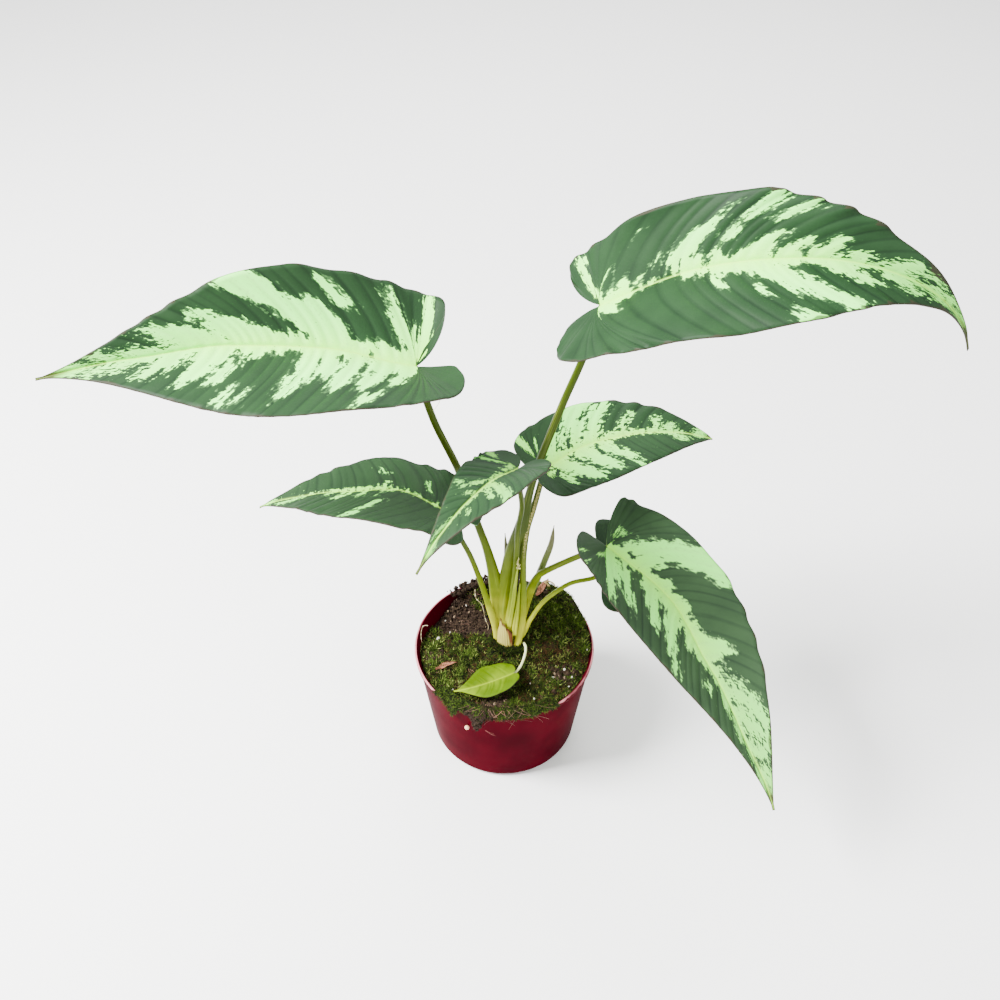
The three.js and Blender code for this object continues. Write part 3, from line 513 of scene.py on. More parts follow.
def mix(a, b, t):
    return a + (b - a) * t


def sheet(columns, rows):
    """A flat grid from 0 to 1 both ways."""
    bm = bmesh.new()
    middle = Matrix.Translation((0.5, 0.5, 0))
    bmesh.ops.create_grid(bm, x_segments=columns, y_segments=rows, size=0.5, matrix=middle)
    return bm


def flat_places(bm):
    """u and v of every vertex of a sheet that is still flat."""
    flat = np.array([vert.co[:2] for vert in bm.verts])
    return flat[:, 0], flat[:, 1]


def keep_map(bm):
    """Writes the flat places of a sheet into its UV map."""
    layer = bm.loops.layers.uv.new("UVMap")
    for face in bm.faces:
        for loop in face.loops:
            loop[layer].uv = loop.vert.co[:2]


def send(bm, places):
    """Moves the vertices to their places, in metres, kept inside the part's box."""
    for vert, place in zip(bm.verts, np.clip(places, CAD_BOX[0], CAD_BOX[1])):
        vert.co = place


def mapped_sheet(columns, rows):
    """A sheet with its UV map, and u and v of its vertices."""
    bm = sheet(columns, rows)
    keep_map(bm)
    return bm, *flat_places(bm)


def tidy_mesh(bm, merge=MERGE):
    bmesh.ops.remove_doubles(bm, verts=bm.verts[:], dist=merge)
    bmesh.ops.dissolve_degenerate(bm, edges=bm.edges[:], dist=1e-7)
    bmesh.ops.recalc_face_normals(bm, faces=bm.faces[:])


def slab(bm, above, below, under=0, merge=MERGE):
    """Doubles a flat sheet into a closed slab. Its vertices go to the places above and below, in mm, and
    its lower side takes the finish of number under."""
    order = {vert.co.to_tuple(6): i for i, vert in enumerate(bm.verts)}
    raised = bmesh.ops.extrude_face_region(bm, geom=bm.faces[:], use_keep_orig=True)["geom"]
    upper_verts = {item for item in raised if isinstance(item, bmesh.types.BMVert)}
    for item in raised:
        if isinstance(item, bmesh.types.BMFace):
            item.tag = True
    for face in bm.faces:
        face.material_index = 0 if face.tag else under
    upper = np.array([vert in upper_verts for vert in bm.verts])
    flat = np.array([order[vert.co.to_tuple(6)] for vert in bm.verts])
    send(bm, np.where(upper[:, None], above[flat], below[flat]) * MM)
    tidy_mesh(bm, merge)


def lathe(profile, steps, merge, middle=(0, 0)):
    """Spins a profile of radii and heights, in mm, round the upright line through middle."""
    bm = bmesh.new()
    verts = [bm.verts.new((x * MM, 0, z * MM)) for x, z in profile]
    edges = [bm.edges.new(pair) for pair in zip(verts, verts[1:])]
    bmesh.ops.spin(bm, geom=verts + edges, axis=(0, 0, 1), angle=2 * math.pi, steps=steps, use_merge=True)
    bmesh.ops.translate(bm, verts=bm.verts[:], vec=(middle[0] * MM, middle[1] * MM, 0))
    tidy_mesh(bm, merge)
    return bm


def piece(name, bm, finishes, nodes=(), rounded=True):
    """Turns a bmesh into a piece that rides on the plant."""
    mesh = bpy.data.meshes.new(name)
    bm.to_mesh(mesh)
    bm.free()
    for finish in finishes:
        mesh.materials.append(finish.material)
    mesh.polygons.foreach_set("use_smooth", [rounded] * len(mesh.polygons))
    obj = bpy.data.objects.new(name, mesh)
    bpy.context.scene.collection.objects.link(obj)
    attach(obj, "root")
    if nodes:
        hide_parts(*nodes)
    return obj


def scatter(template, places, tints):
    """Many copies of one small mesh in one bmesh, each with its tint."""
    bm = bmesh.new()
    layer = template.attributes.new("tint", "FLOAT", "POINT")
    for place, tint in zip(places, tints):
        template.transform(place)
        layer.data.foreach_set("value", [tint] * len(layer.data))
        bm.from_mesh(template)
        template.transform(place.inverted())
    bpy.data.meshes.remove(template)
    return bm


def template_of(bm):
    mesh = bpy.data.meshes.new("template")
    bm.to_mesh(mesh)
    bm.free()
    return mesh


def bundle(tubes):
    """One bmesh of many."""
    bm = bmesh.new()
    for one in tubes:
        mesh = template_of(one)
        bm.from_mesh(mesh)
        bpy.data.meshes.remove(mesh)
    return bm


def moved(x, y, z):
    """The move to a place in mm."""
    return Matrix.Translation(Vector((x, y, z)) * MM)


def any_way(rng):
    """A random turn about all three axes."""
    return Euler([rng.uniform(0, TURN) for _ in range(3)]).to_matrix().to_4x4()


# Ground, the same surface as the part's
def wall_radius(z):
    return mix(POT["base"], POT["neck"], z / POT["height"])


def inner_radius(z):
    return wall_radius(np.minimum(z, POT["height"])) - POT["wall"]


def ground_height(x, y):
    return SOIL_LEVEL + sum(rise * np.exp(-((x - mx) ** 2 + (y - my) ** 2) / spread ** 2 / 2)
                            for mx, my, rise, spread in MOUNDS)


def rolled(height, out):
    """The height of the ground with what stands over the pot's lip rolled down towards the wall."""
    outer = smooth((out - ROLL_START) / (1 - ROLL_START))
    return height - np.maximum(height - POT["height"], 0) * EDGE_ROLL * outer


def ground_place(turn, out, depth):
    """A point below the ground by depth, from the crown's hole, out 0, to the pot's wall, out 1."""
    edge = inner_radius(SOIL_LEVEL + 0 * turn)
    for _ in range(3):
        edge = inner_radius(ground_height(edge * np.cos(turn), edge * np.sin(turn)) - depth) - GAP
    x = mix(CROWN["x"] + CROWN["hole"] * np.cos(turn), edge * np.cos(turn), out)
    y = mix(CROWN["y"] + CROWN["hole"] * np.sin(turn), edge * np.sin(turn), out)
    return x, y, rolled(ground_height(x, y), out) - depth


def moss_thickness(degrees):
    inside = np.minimum(degrees - MOSS["from"], MOSS["to"] - degrees)
    return mix(MOSS["thinnest"], MOSS["thickness"], smooth(inside / MOSS["fade"]))


def moss_cushion(x, y):
    phase = 2 * math.pi / MOSS["size"]
    return MOSS["cushion"] * np.sin(x * phase + 1) * np.cos(y * phase)


def fringe_place(along, down):
    """A point of the mat over the front lip, and its outward direction: down runs from the moss inside
    to the ragged lower edge."""
    degrees = mix(FRINGE["from"], FRINGE["to"], along)
    turn = math.radians(degrees)
    tongue = sum(lower * math.exp(-((degrees - at) / spread) ** 2) for at, lower, spread in TONGUES)
    ragged = 1.3 * noise.fractal(Vector((along * 60, 1, 5)), 0.6, 2.0, 4)
    edge = math.sin(math.pi * min(max(along, 0), 1)) ** 0.4
    drop = max((0.7 + tongue + ragged * (1 + tongue * 0.2)) * edge, 0.3)
    walked = down * (FRINGE["inside"] + drop)
    over = walked - FRINGE["inside"]
    outward = (math.cos(turn), math.sin(turn))
    if over < 0:
        radius = POT["rim"] + 0.2 + over
        z = POT["height"] + 0.5 * smooth(-over / 2) + 0.15
    else:
        radius, z = POT["rim"] + 0.2, POT["height"] + 0.15 - over
    return (radius * outward[0], radius * outward[1], float(z)), outward


def rough(places, scale, height, seed):
    """Adds noise to the z of places in mm."""
    for place in places:
        place[2] += height * noise.fractal(Vector((place[0] / scale, place[1] / scale, seed)), 0.6, 2.0, 4)
    return places


# Blades
def curve_point(p, t):
    t = t[:, None]
    p = np.asarray(p, float)
    return (1 - t) ** 3 * p[0] + 3 * (1 - t) ** 2 * t * p[1] + 3 * (1 - t) * t * t * p[2] + t ** 3 * p[3]


def half_outline(leaf, v, tip_pull, lobe_points=None):
    """Station and reach of the margin at v, both as shares. A lobe that isn't round has its own points."""
    lobe, lobe_out, widest = leaf["lobe"], leaf["lobe_out"], leaf["widest"]
    round_lobe = [(-lobe, lobe_out), (-lobe * 1.05, max(leaf["shoulder"], lobe_out)), (0, 1)]
    near = [*(lobe_points or round_lobe), (widest, 1)]
    far = [(widest, 1), (widest + TIP_REACH, 1), (tip_pull, leaf["tip_width"]), (1, 0)]
    near_part = curve_point(near, np.clip(2 * v, 0, 1))
    far_part = curve_point(far, np.clip(2 * v - 1, 0, 1))
    return np.where((v < 0.5)[:, None], near_part, far_part)


def midrib(leaf, steps=60):
    """Places and directions along the midrib."""
    t = np.linspace(0, 1, steps + 1)
    pitch = np.radians(leaf["rise"] - leaf["droop"] * t ** leaf["droop_power"])
    heading = np.radians(leaf["heading"] + leaf["sweep"] * t)
    along = np.stack([np.cos(pitch) * np.cos(heading), np.cos(pitch) * np.sin(heading), np.sin(pitch)], 1)
    walk = np.cumsum((along[1:] + along[:-1]) / 2 * leaf["length"] / steps, 0)
    place = np.array(leaf["junction"]) + np.vstack([np.zeros(3), walk])
    level = np.stack([-np.sin(heading), np.cos(heading), 0 * heading], 1)
    roll = np.radians(leaf["roll"] + leaf["twist"] * t)[:, None]
    left = level * np.cos(roll) + np.cross(along, level) * np.sin(roll)
    return t, place, along, left, np.cross(along, left)


def blade_surface(leaf, u, v):
    """Middle surface of a blade, its normals, and for each point the reach from the midrib, the
    distance to the margin and the depth of the keel below it, all in mm."""
    side = np.where(u < 0.5, -1, 1)
    across = np.abs(u - 0.5) * 2
    left_margin = half_outline(leaf, v, leaf["tip_pull"], leaf.get("left_lobe"))
    right_margin = half_outline(leaf, v, leaf.get("right_tip_pull", leaf["tip_pull"]), leaf.get("right_lobe"))
    margin = np.where((side > 0)[:, None], left_margin, right_margin)
    root = left_margin[:, 0]
    start = np.maximum(root - VEIN_LEAD * (1 - np.maximum(root, 0) ** 4), 0)
    half = leaf["width"] / 2 * np.where(side > 0, leaf["left_half"], 1)
    behind = np.clip(-margin[:, 0] / leaf["lobe"], 0, 1)
    quarter = across * math.pi / 2
    full = np.maximum(margin[:, 1] * half, TIP_HALF)
    reach = full * mix(across, 1 - np.cos(quarter), behind / 2)
    station = mix(start, margin[:, 0], mix(across ** VEIN_BEND, np.sin(quarter), behind))
    t, *rib = midrib(leaf)
    place, along, left, up = (
        np.stack([np.interp(station, t, axis[:, i]) for i in range(3)], 1) for axis in rib)
    bow = leaf["width"] / 2 * eased(station, (0, *leaf["bow"], 0))
    fold = math.radians(leaf["fold"])
    back = np.minimum(station, 0)
    drop = math.sin(math.radians(leaf["lobe_drop"])) * leaf["length"] * back * back / leaf["lobe"]
    swell = np.sin(math.pi * v)
    wave = leaf["ripple"] * np.sin(2 * math.pi * leaf["waves"] * v + side) * across ** 3 * swell
    sideways = side * reach * math.cos(fold) + bow * (1 - across)
    lift = reach * math.sin(fold) - drop + wave
    middle = place + along * (back * leaf["length"])[:, None] + left * sideways[:, None] + up * lift[:, None]
    lean = side * np.minimum(across / 0.05, 1) * math.sin(fold)
    normal = up * math.cos(fold) - left * lean[:, None]
    keel = KEEL * (1 - smooth(station)) * np.maximum(1 - across / KEEL_WIDTH, 0)
    return middle, normal, reach, full - reach, full, keel


def eased(t, values):
    """Eases through evenly spaced values as t runs from 0 to 1."""
    values = np.array(values, float)
    steps = np.clip(t, 0, 1) * (len(values) - 1)
    low = np.minimum(steps.astype(int), len(values) - 2)
    return mix(values[low], values[low + 1], smooth(steps - low))


def stroke_field(strokes, u, v):
    """How deep each point lies in the strokes: 0.5 on their outline, more inside."""
    field = np.zeros(len(u))
    for u0, v0, u1, v1, half0, half1 in strokes:
        du, dv = (u1 - u0) * STROKE_SQUASH, v1 - v0
        length = max(du * du + dv * dv, 1e-9)
        t = np.clip((((u - u0) * STROKE_SQUASH) * du + (v - v0) * dv) / length, 0, 1)
        distance = np.hypot((u - mix(u0, u1, t)) * STROKE_SQUASH, v - mix(v0, v1, t))
        field = np.maximum(field, 0.5 + (mix(half0, half1, t) - distance) / STROKE_SOFTNESS)
    return np.clip(field, 0, 1)


def blade_bmesh(name, sizes, columns, rows):
    """A blade with its side veins sunk between ridges, a grooved midrib above and a keel below."""
    leaf = {**SHAPE_DEFAULTS, **BLADE_SHAPES[name]}
    bm = sheet(columns, rows)
    u, v = flat_places(bm)
    side = np.where(u < 0.5, -1, 1)
    across = (np.abs(u - 0.5) * 2) ** 1.35
    u = 0.5 + side * across / 2
    for vert, place in zip(bm.verts, u):
        vert.co.x = place
    keep_map(bm)
    marks = bm.verts.layers.float_vector.new("marks")
    ridges = bm.verts.layers.float.new("ridge")
    middle, normal, reach, edge, full, keel = blade_surface(leaf, u, v)
    pale = stroke_field(PALE_STROKES[name], u, v)
    pale = np.minimum(pale, 1 - stroke_field(DARK_STROKES.get(name, []), u, v))
    lanes = sizes.veins * 2 * leaf["density"]
    fanned = np.minimum(v - FAN_END, 0) * FAN_THINNING
    phase = (v - fanned) * lanes + 0.45 * np.sin(v * 19 + side) + 0.25 * np.sin(v * 47 + side * 2)
    ridge = np.abs(np.sin(math.pi * phase)) ** 0.7
    spread = smooth((v - 0.06) / 0.24)
    in_fan = 1 - smooth((v - FAN_END) / 0.08)
    ridge = mix(0.6, ridge, mix(0.2, 1, spread) * mix(1, np.minimum(reach / 45, 0.7), in_fan))
    scallop = np.sin(2 * math.pi * (v * lanes / 3.4 + 0.5 * np.sin(v * 17 + side)))
    tooth = leaf["frill"] * np.maximum(scallop, 0) ** 8 * mix(0.3, 1, spread)
    for vert, values, high in zip(bm.verts, np.stack([reach, edge - tooth, pale], 1), ridge):
        vert[marks] = values
        vert[ridges] = high
    uneven = 0.75 + 0.35 * np.sin(np.floor(phase) * 2.3 + side) * np.cos(across * 3 + np.floor(phase))
    window = smooth(across / 0.1) * (1 - 0.6 * smooth((across - 0.8) / 0.2)) * np.minimum(full / 18, 1)
    ridge = (ridge - 0.6) * uneven * window * leaf["relief"] * sizes.vein_depth / MM
    groove = sizes.groove_depth / MM * np.exp(-(reach / 0.9) ** 2)
    frill = leaf["frill"] * np.minimum(full / 18, 1) * across ** 6 * mix(0.15, 1, smooth((v - 0.28) / 0.12))
    nearer = blade_surface(leaf, 0.5 + (u - 0.5) * INSET, v)[0]
    middle = mix(middle, nearer, (frill * (0.5 - scallop / 2))[:, None])
    frill = frill * scallop
    relief = (ridge - groove + frill)[:, None] * normal
    half = sizes.blade_thickness / MM / 2
    above = middle + relief + normal * half
    below = middle + relief * 0.8 - normal * (half + keel)[:, None]
    slab(bm, above, below, under=1)
    return bm


def blade_finish(name, colours, lime=False):
    """Upper side: dark green with jagged pale markings that follow the side veins."""
    finish = Finish(f"{name}_upper", Specular_IOR_Level=0.04 if lime else 0.1)
    u, v, _ = finish.map()
    reach, edge, pale = finish.split(finish.attribute("marks"))
    place = finish.place()
    seed = float(len(name)) + sum(map(ord, name)) % 17
    long_streaks = finish.streaks(u, v, 8.0, 105.0, seed, 1.0)
    broad_streaks = finish.streaks(u, v, 11.0, 42.0, seed + 5)
    flecks = finish.streaks(u, v, 60.0, 190.0, seed + 9, 3.0)
    jagged = pale + (long_streaks - 0.5) * 0.62 + (broad_streaks - 0.5) * 0.55 + (flecks - 0.5) * 0.5
    tip = finish.step(v, 0.7, 0.9)
    brushed = finish.streaks(u, v, 4.0, 240.0, seed + 7, 3.0)
    speckle = finish.streaks(u, v, 26.0, 80.0, seed + 11)
    green_tone_and_shading, pale_tone_and_shading, flecked, brown_tip = BLADE_LOOKS[name]
    jagged = jagged + (brushed - 0.5) * 1.1 * tip + (speckle - 0.5) * (flecked + (1.7 - flecked) * tip)
    mask = finish.step(jagged, 0.485, 0.52) * (1.0 - 0.3 * tip)
    half_tone = finish.step(jagged, 0.38, 0.47)
    ridge = finish.attribute("ridge", "Fac")
    cloud = finish.noise(place, 55.0, 3.0)
    streak = finish.streaks(u, v, 3.0, 130.0, seed + 2)
    if lime:
        green = finish.fade(cloud, 0.35, 0.7, colours.lime, srgb(72, 100, 0))
        # Painted highlight on the vein ridges, mixed with lighter mottling of the leaf's own.
        mottle_and_highlight = finish.step(ridge * 0.22 + cloud * 1.2 - reach * 0.02, 0.52, 0.92)
        green = finish.blend(mottle_and_highlight * 0.6, green, srgb(112, 134, 0))
        base = finish.blend(2.718 ** (reach * -2.4) * 0.6, green, srgb(150, 172, 12))
    else:
        depth = finish.step(cloud, 0.3, 0.7) * 0.4
        # Painted shade: darker green in the valleys between the vein ridges, on top of the relief.
        depth = depth + finish.step(ridge + (streak - 0.5) * 0.5, 0.05, 0.75) * 0.6
        green = finish.blend(depth, colours.blade_deep_and_valley_shade, colours.blade)
        warm = 2.718 ** (reach * -0.14) * (1.0 - tip * 0.6) + (1.0 - finish.step(v, 0.25, 0.55)) * 0.4
        light = finish.blend(warm, colours.marking, colours.marking_warm)
        patchy = finish.step(flecks * 0.6 + streak * 0.4, 0.52, 0.66)
        light = finish.blend(patchy * 0.4, light, srgb(132, 196, 104))
        # Painted shade: the markings turn a darker green in the valleys between the vein ridges.
        light = finish.blend((1.0 - ridge) * 0.25, light, srgb(150, 210, 120))
        green = finish.blend(half_tone * 0.4, green, srgb(96, 150, 84))
        # Painted light and shade: each blade's greens and markings are scaled for how much light falls on it.
        green = finish.blend(1.0, green, green_tone_and_shading, "MULTIPLY")
        light = finish.blend(1.0, light, (pale_tone_and_shading, pale_tone_and_shading, pale_tone_and_shading), "MULTIPLY")
        base = finish.blend(mask, green, light)
        base = finish.blend(2.718 ** (reach * reach * -5.0) * 0.65, base, colours.midrib)
        dry = finish.step(v + (speckle - 0.5) * 0.03, 0.95, 0.985)
        base = finish.blend(dry * brown_tip, base, srgb(60, 52, 28))
    base = finish.blend((1.0 - finish.step(edge, 0.05, 0.4)) * (0.0 if lime else 0.75), base, colours.margin)
    finish.set(Base_Color=base, Roughness=0.5 + 0.14 * cloud - 0.05 * mask)
    finish.bump(finish.noise(place, 2600.0, 2.0) * 0.7 + finish.noise(place, 700.0, 2.0), 0.00012, 0.6)
    return finish


def underside_finish(name, colours):
    finish = Finish(f"{name}_underside", Specular_IOR_Level=0.15)
    u, v, _ = finish.map()
    reach, edge, pale = finish.split(finish.attribute("marks"))
    cloud = finish.noise(finish.place(), 60.0, 3.0)
    streaks = finish.streaks(u, v, 5.0, 105.0, 3.0)
    base = finish.fade(cloud, 0.35, 0.65, colours.underside, srgb(76, 110, 70))
    base = finish.blend(finish.step(pale + (streaks - 0.5), 0.45, 0.6) * 0.6, base, srgb(150, 182, 122))
    base = finish.blend(2.718 ** (reach * -0.7) * 0.8, base, srgb(184, 198, 122))
    base = finish.blend(1.0 - finish.step(edge, 0.25, 0.75), base, colours.margin)
    finish.set(Base_Color=base, Roughness=0.55 + 0.1 * cloud)
    finish.bump(finish.noise(finish.place(), 1500.0, 2.0), 0.00012, 0.5)
    return finish


# Stalks and shoots
def path_frames(points, steps):
    """Evenly spaced places along a smooth path, each with two directions square to it."""
    p = np.array([points[0], *points, points[-1]], float)
    p[0], p[-1] = 2 * p[1] - p[2], 2 * p[-2] - p[-3]
    fine = []
    for a, b, c, d in zip(p, p[1:], p[2:], p[3:]):
        for t in np.linspace(0, 1, 24, endpoint=False):
            fine.append(0.5 * (2 * b + (c - a) * t + (2 * a - 5 * b + 4 * c - d) * t * t
                               + (3 * b - a - 3 * c + d) * t ** 3))
    fine = np.array([*fine, p[-2]])
    walked = np.concatenate([[0], np.cumsum(np.linalg.norm(np.diff(fine, axis=0), axis=1))])
    even = np.linspace(0, walked[-1], steps + 1)
    places = np.stack([np.interp(even, walked, fine[:, i]) for i in range(3)], 1)
    tangents = np.gradient(places, axis=0)
    tangents /= np.linalg.norm(tangents, axis=1)[:, None]
    across = np.cross(tangents[0], (0, 1, 0) if abs(tangents[0][1]) < 0.8 else (1, 0, 0))
    frames = []
    for place, tangent in zip(places, tangents):
        across = across - tangent * across.dot(tangent)
        across /= np.linalg.norm(across)
        frames.append((place, tangent, across, np.cross(tangent, across)))
    return frames


def tube(points, radius_at, sides, steps, start_plane=None, end_plane=None):
    """A closed tube along a path. radius_at takes the share of the way and the turn round it. An end
    may be cut along a plane, given by its normal."""
    frames = path_frames(points, steps)
    bm, u, v = mapped_sheet(sides, steps)
    places = []
    for turn, t in zip(u * 2 * math.pi, v):
        step = round(t * steps)
        centre, tangent, across, other = frames[step]
        spot = centre + (across * math.cos(turn) + other * math.sin(turn)) * radius_at(t, turn)
        plane = {0: start_plane, steps: end_plane}.get(step)
        if plane is not None:
            spot = spot + tangent * ((centre - spot).dot(plane) / tangent.dot(plane))
        places.append(spot * MM)
    send(bm, places)
    bmesh.ops.remove_doubles(bm, verts=bm.verts[:], dist=MERGE)
    bmesh.ops.holes_fill(bm, edges=bm.edges[:])
    bmesh.ops.recalc_face_normals(bm, faces=bm.faces[:])
    return bm


def stalk_finish(colours, kind="plain"):
    """Cream at the foot, yellow-green above it and olive towards the blade, with fine long streaks."""
    finish = Finish(f"{kind}_stalk", Specular_IOR_Level=0.1)
    u, v, _ = finish.map()
    place = finish.place()
    _, _, z = finish.split(place)
    streak = finish.streaks(u, v, 26.0, 5.0, 1.0)
    cloud = finish.noise(place, 90.0, 2.0)
    height = z + (cloud - 0.5) * 0.03 + (streak - 0.5) * 0.012
    low = finish.fade(height, 0.076, 0.112, colours.stalk_foot, colours.stalk_middle)
    base = finish.fade(height, 0.098, 0.165, low, colours.stalk_top)
    base = finish.blend(finish.step(streak, 0.55, 0.8) * 0.3, base, srgb(184, 196, 84))
    if kind == "speckled":
        grains = finish.streaks(u, v, 30.0, 110.0, 4.0)
        strip = finish.step(u, 0.14, 0.2) * (1.0 - finish.step(u, 0.3, 0.36)) * finish.step(v, 0.5, 0.7)
        base = finish.blend(strip * finish.step(grains, 0.4, 0.62) * 0.75, base, srgb(196, 184, 118))
    if kind == "strip":
        base = finish.blend(0.25 + 0.4 * finish.step(height, 0.110, 0.135), base, srgb(170, 186, 50))
    finish.set(Base_Color=base, Roughness=0.36 + 0.16 * cloud)
    finish.bump(finish.streaks(u, v, 60.0, 12.0, 0.0), 0.00012, 0.5)
    return finish


# Operators
class PlantMaker:
    """What all the plant's operators share."""

    bl_options = {"REGISTER", "UNDO"}

    def execute(self, context):
        self.make(context.scene.plant_sizes, context.scene.plant_colours)
        return {"FINISHED"}


class PLANT_OT_stage(PlantMaker, bpy.types.Operator):
    """Sets the camera, the pale floor and the soft lights"""

    bl_idname = "plant.stage"
    bl_label = "Stage"

    def make(self, sizes, colours):
        scene = bpy.context.scene
        camera = bpy.data.objects.new("camera", bpy.data.cameras.new("camera"))
        camera.data.lens = CAMERA["lens"]
        camera.data.sensor_width = CAMERA["sensor"]
        camera.location = CAMERA["place"]
        camera.rotation_euler = (math.radians(90 - CAMERA["pitch"]), 0, 0)
        scene.collection.objects.link(camera)
        scene.camera = camera
        bm = sheet(8, 8)
        corner = Matrix.Translation((-FLOOR["size"] / 2, -FLOOR["size"] / 2, -FLOOR["below"]))
        bmesh.ops.transform(bm, matrix=corner @ Matrix.Scale(FLOOR["size"], 4), verts=bm.verts[:])
        floor_finish = Finish("floor", roughness=0.9, Base_Color=FLOOR["colour"])
        mesh = bpy.data.meshes.new("floor")
        bm.to_mesh(mesh)
        bm.free()
        mesh.materials.append(floor_finish.material)
        floor = bpy.data.objects.new("floor", mesh)
        scene.collection.objects.link(floor)
        for name, place, size, power in LIGHTS:
            light = bpy.data.lights.new(name, "AREA")
            light.size, light.energy = size, power
            lamp = bpy.data.objects.new(name, light)
            lamp.location = place
            lamp.rotation_euler = (Vector(AIM) - lamp.location).to_track_quat("-Z", "Y").to_euler()
            scene.collection.objects.link(lamp)
        world = bpy.data.worlds.new("studio")
        world.use_nodes = True
        background = world.node_tree.nodes["Background"]
        background.inputs["Color"].default_value = (1, 1, 1, 1)
        background.inputs["Strength"].default_value = WORLD_STRENGTH
        scene.world = world


class PLANT_OT_pot(PlantMaker, bpy.types.Operator):
    """Spins the crimson nursery pot and drills its drain holes"""

    bl_idname = "plant.pot"
    bl_label = "Pot"

    def make(self, sizes, colours):
        neck = POT["height"] - LIP["height"]
        corner = wall_radius(POT["corner"])
        profile = [(0, 0), (corner - POT["corner"] - 2, 0)]
        for i in range(9):
            turn = math.radians(i / 8 * 90)
            back, rise = 1 - math.sin(turn), 1 - math.cos(turn)
            profile.append((corner - POT["corner"] * back, POT["corner"] * rise))
        profile += [(wall_radius(z), z) for z in (12, 24, 36, 48, neck - 0.6, neck)]
        swell = POT["rim"] - LIP["swell"]
        profile += [(swell - 0.2, neck + 0.35), (swell, neck + LIP["step"])]
        roll = LIP["round"]
        for i in range(7):
            turn = math.radians(i / 6 * 180)
            middle = POT["rim"] - roll
            profile.append((middle + roll * math.cos(turn), POT["height"] - roll + roll * math.sin(turn)))
        profile += [(inner_radius(z), z) for z in (neck, 48, 24, POT["floor"] + 1.5)]
        profile += [(inner_radius(POT["floor"]) - 1.2, POT["floor"]), (0, POT["floor"])]
        bm = lathe(profile, 128, 1e-5)
        drills = bmesh.new()
        for i in range(DRAIN["count"]):
            turn = i / DRAIN["count"] * 2 * math.pi
            place = Matrix.Translation(Vector((math.cos(turn), math.sin(turn), 0)) * DRAIN["circle"] * MM)
            bmesh.ops.create_cone(drills, cap_ends=True, segments=24, radius1=DRAIN["radius"] * MM,
                                  radius2=DRAIN["radius"] * MM, depth=0.012, matrix=place)
        cutter = bpy.data.objects.new("drills", template_of(drills))
        bpy.context.scene.collection.objects.link(cutter)
        pot = piece("nursery_pot", bm, [self.finish(colours)], ["pot"])
        drill = pot.modifiers.new("drain", "BOOLEAN")
        drill.object, drill.operation, drill.solver = cutter, "DIFFERENCE", "EXACT"
        graph = bpy.context.evaluated_depsgraph_get()
        drilled = bpy.data.meshes.new_from_object(pot.evaluated_get(graph))
        pot.modifiers.clear()
        pot.data = drilled
        bpy.data.objects.remove(cutter)
        smooth_sides = bmesh.new()
        smooth_sides.from_mesh(drilled)
        for edge in smooth_sides.edges:
            edge.smooth = len(edge.link_faces) == 2 and edge.calc_face_angle(0) < math.radians(35)
        smooth_sides.to_mesh(drilled)
        smooth_sides.free()

    def finish(self, colours):
        finish = Finish("crimson_plastic", Specular_IOR_Level=0.003)
        place = finish.place()
        x, y, z = finish.split(place)
        cloud = finish.noise(place, 38.0, 3.0)
        # Noise for the fine scuffs, which also breaks up the painted lip highlight.
        scuff_and_highlight_noise = finish.noise(finish.join(x * 400.0, y * 400.0, z * 60.0), 1.0, 3.0)
        base = finish.fade(cloud, 0.35, 0.7, colours.plastic, srgb(48, 0, 9))
        radius = (x * x + y * y) ** 0.5
        # Painted highlight: a broken pale pink line along the top of the lip's outer edge.
        lip_highlight_mask = finish.step(z + (scuff_and_highlight_noise - 0.5) * 0.0022, 0.0671, 0.0677) * finish.step(radius, 0.0488, 0.0494)
        base = finish.blend(lip_highlight_mask * finish.step(cloud, 0.3, 0.6), base, colours.lip_highlight_colour)
        dust = finish.step(scuff_and_highlight_noise, 0.62, 0.8) * 0.06
        base = finish.blend(dust, base, srgb(112, 14, 24))
        finish.set(Base_Color=base, Roughness=0.30 + 0.22 * cloud + dust)
        finish.bump(finish.noise(place, 900.0, 2.0), 0.00008, 0.4)
        return finish


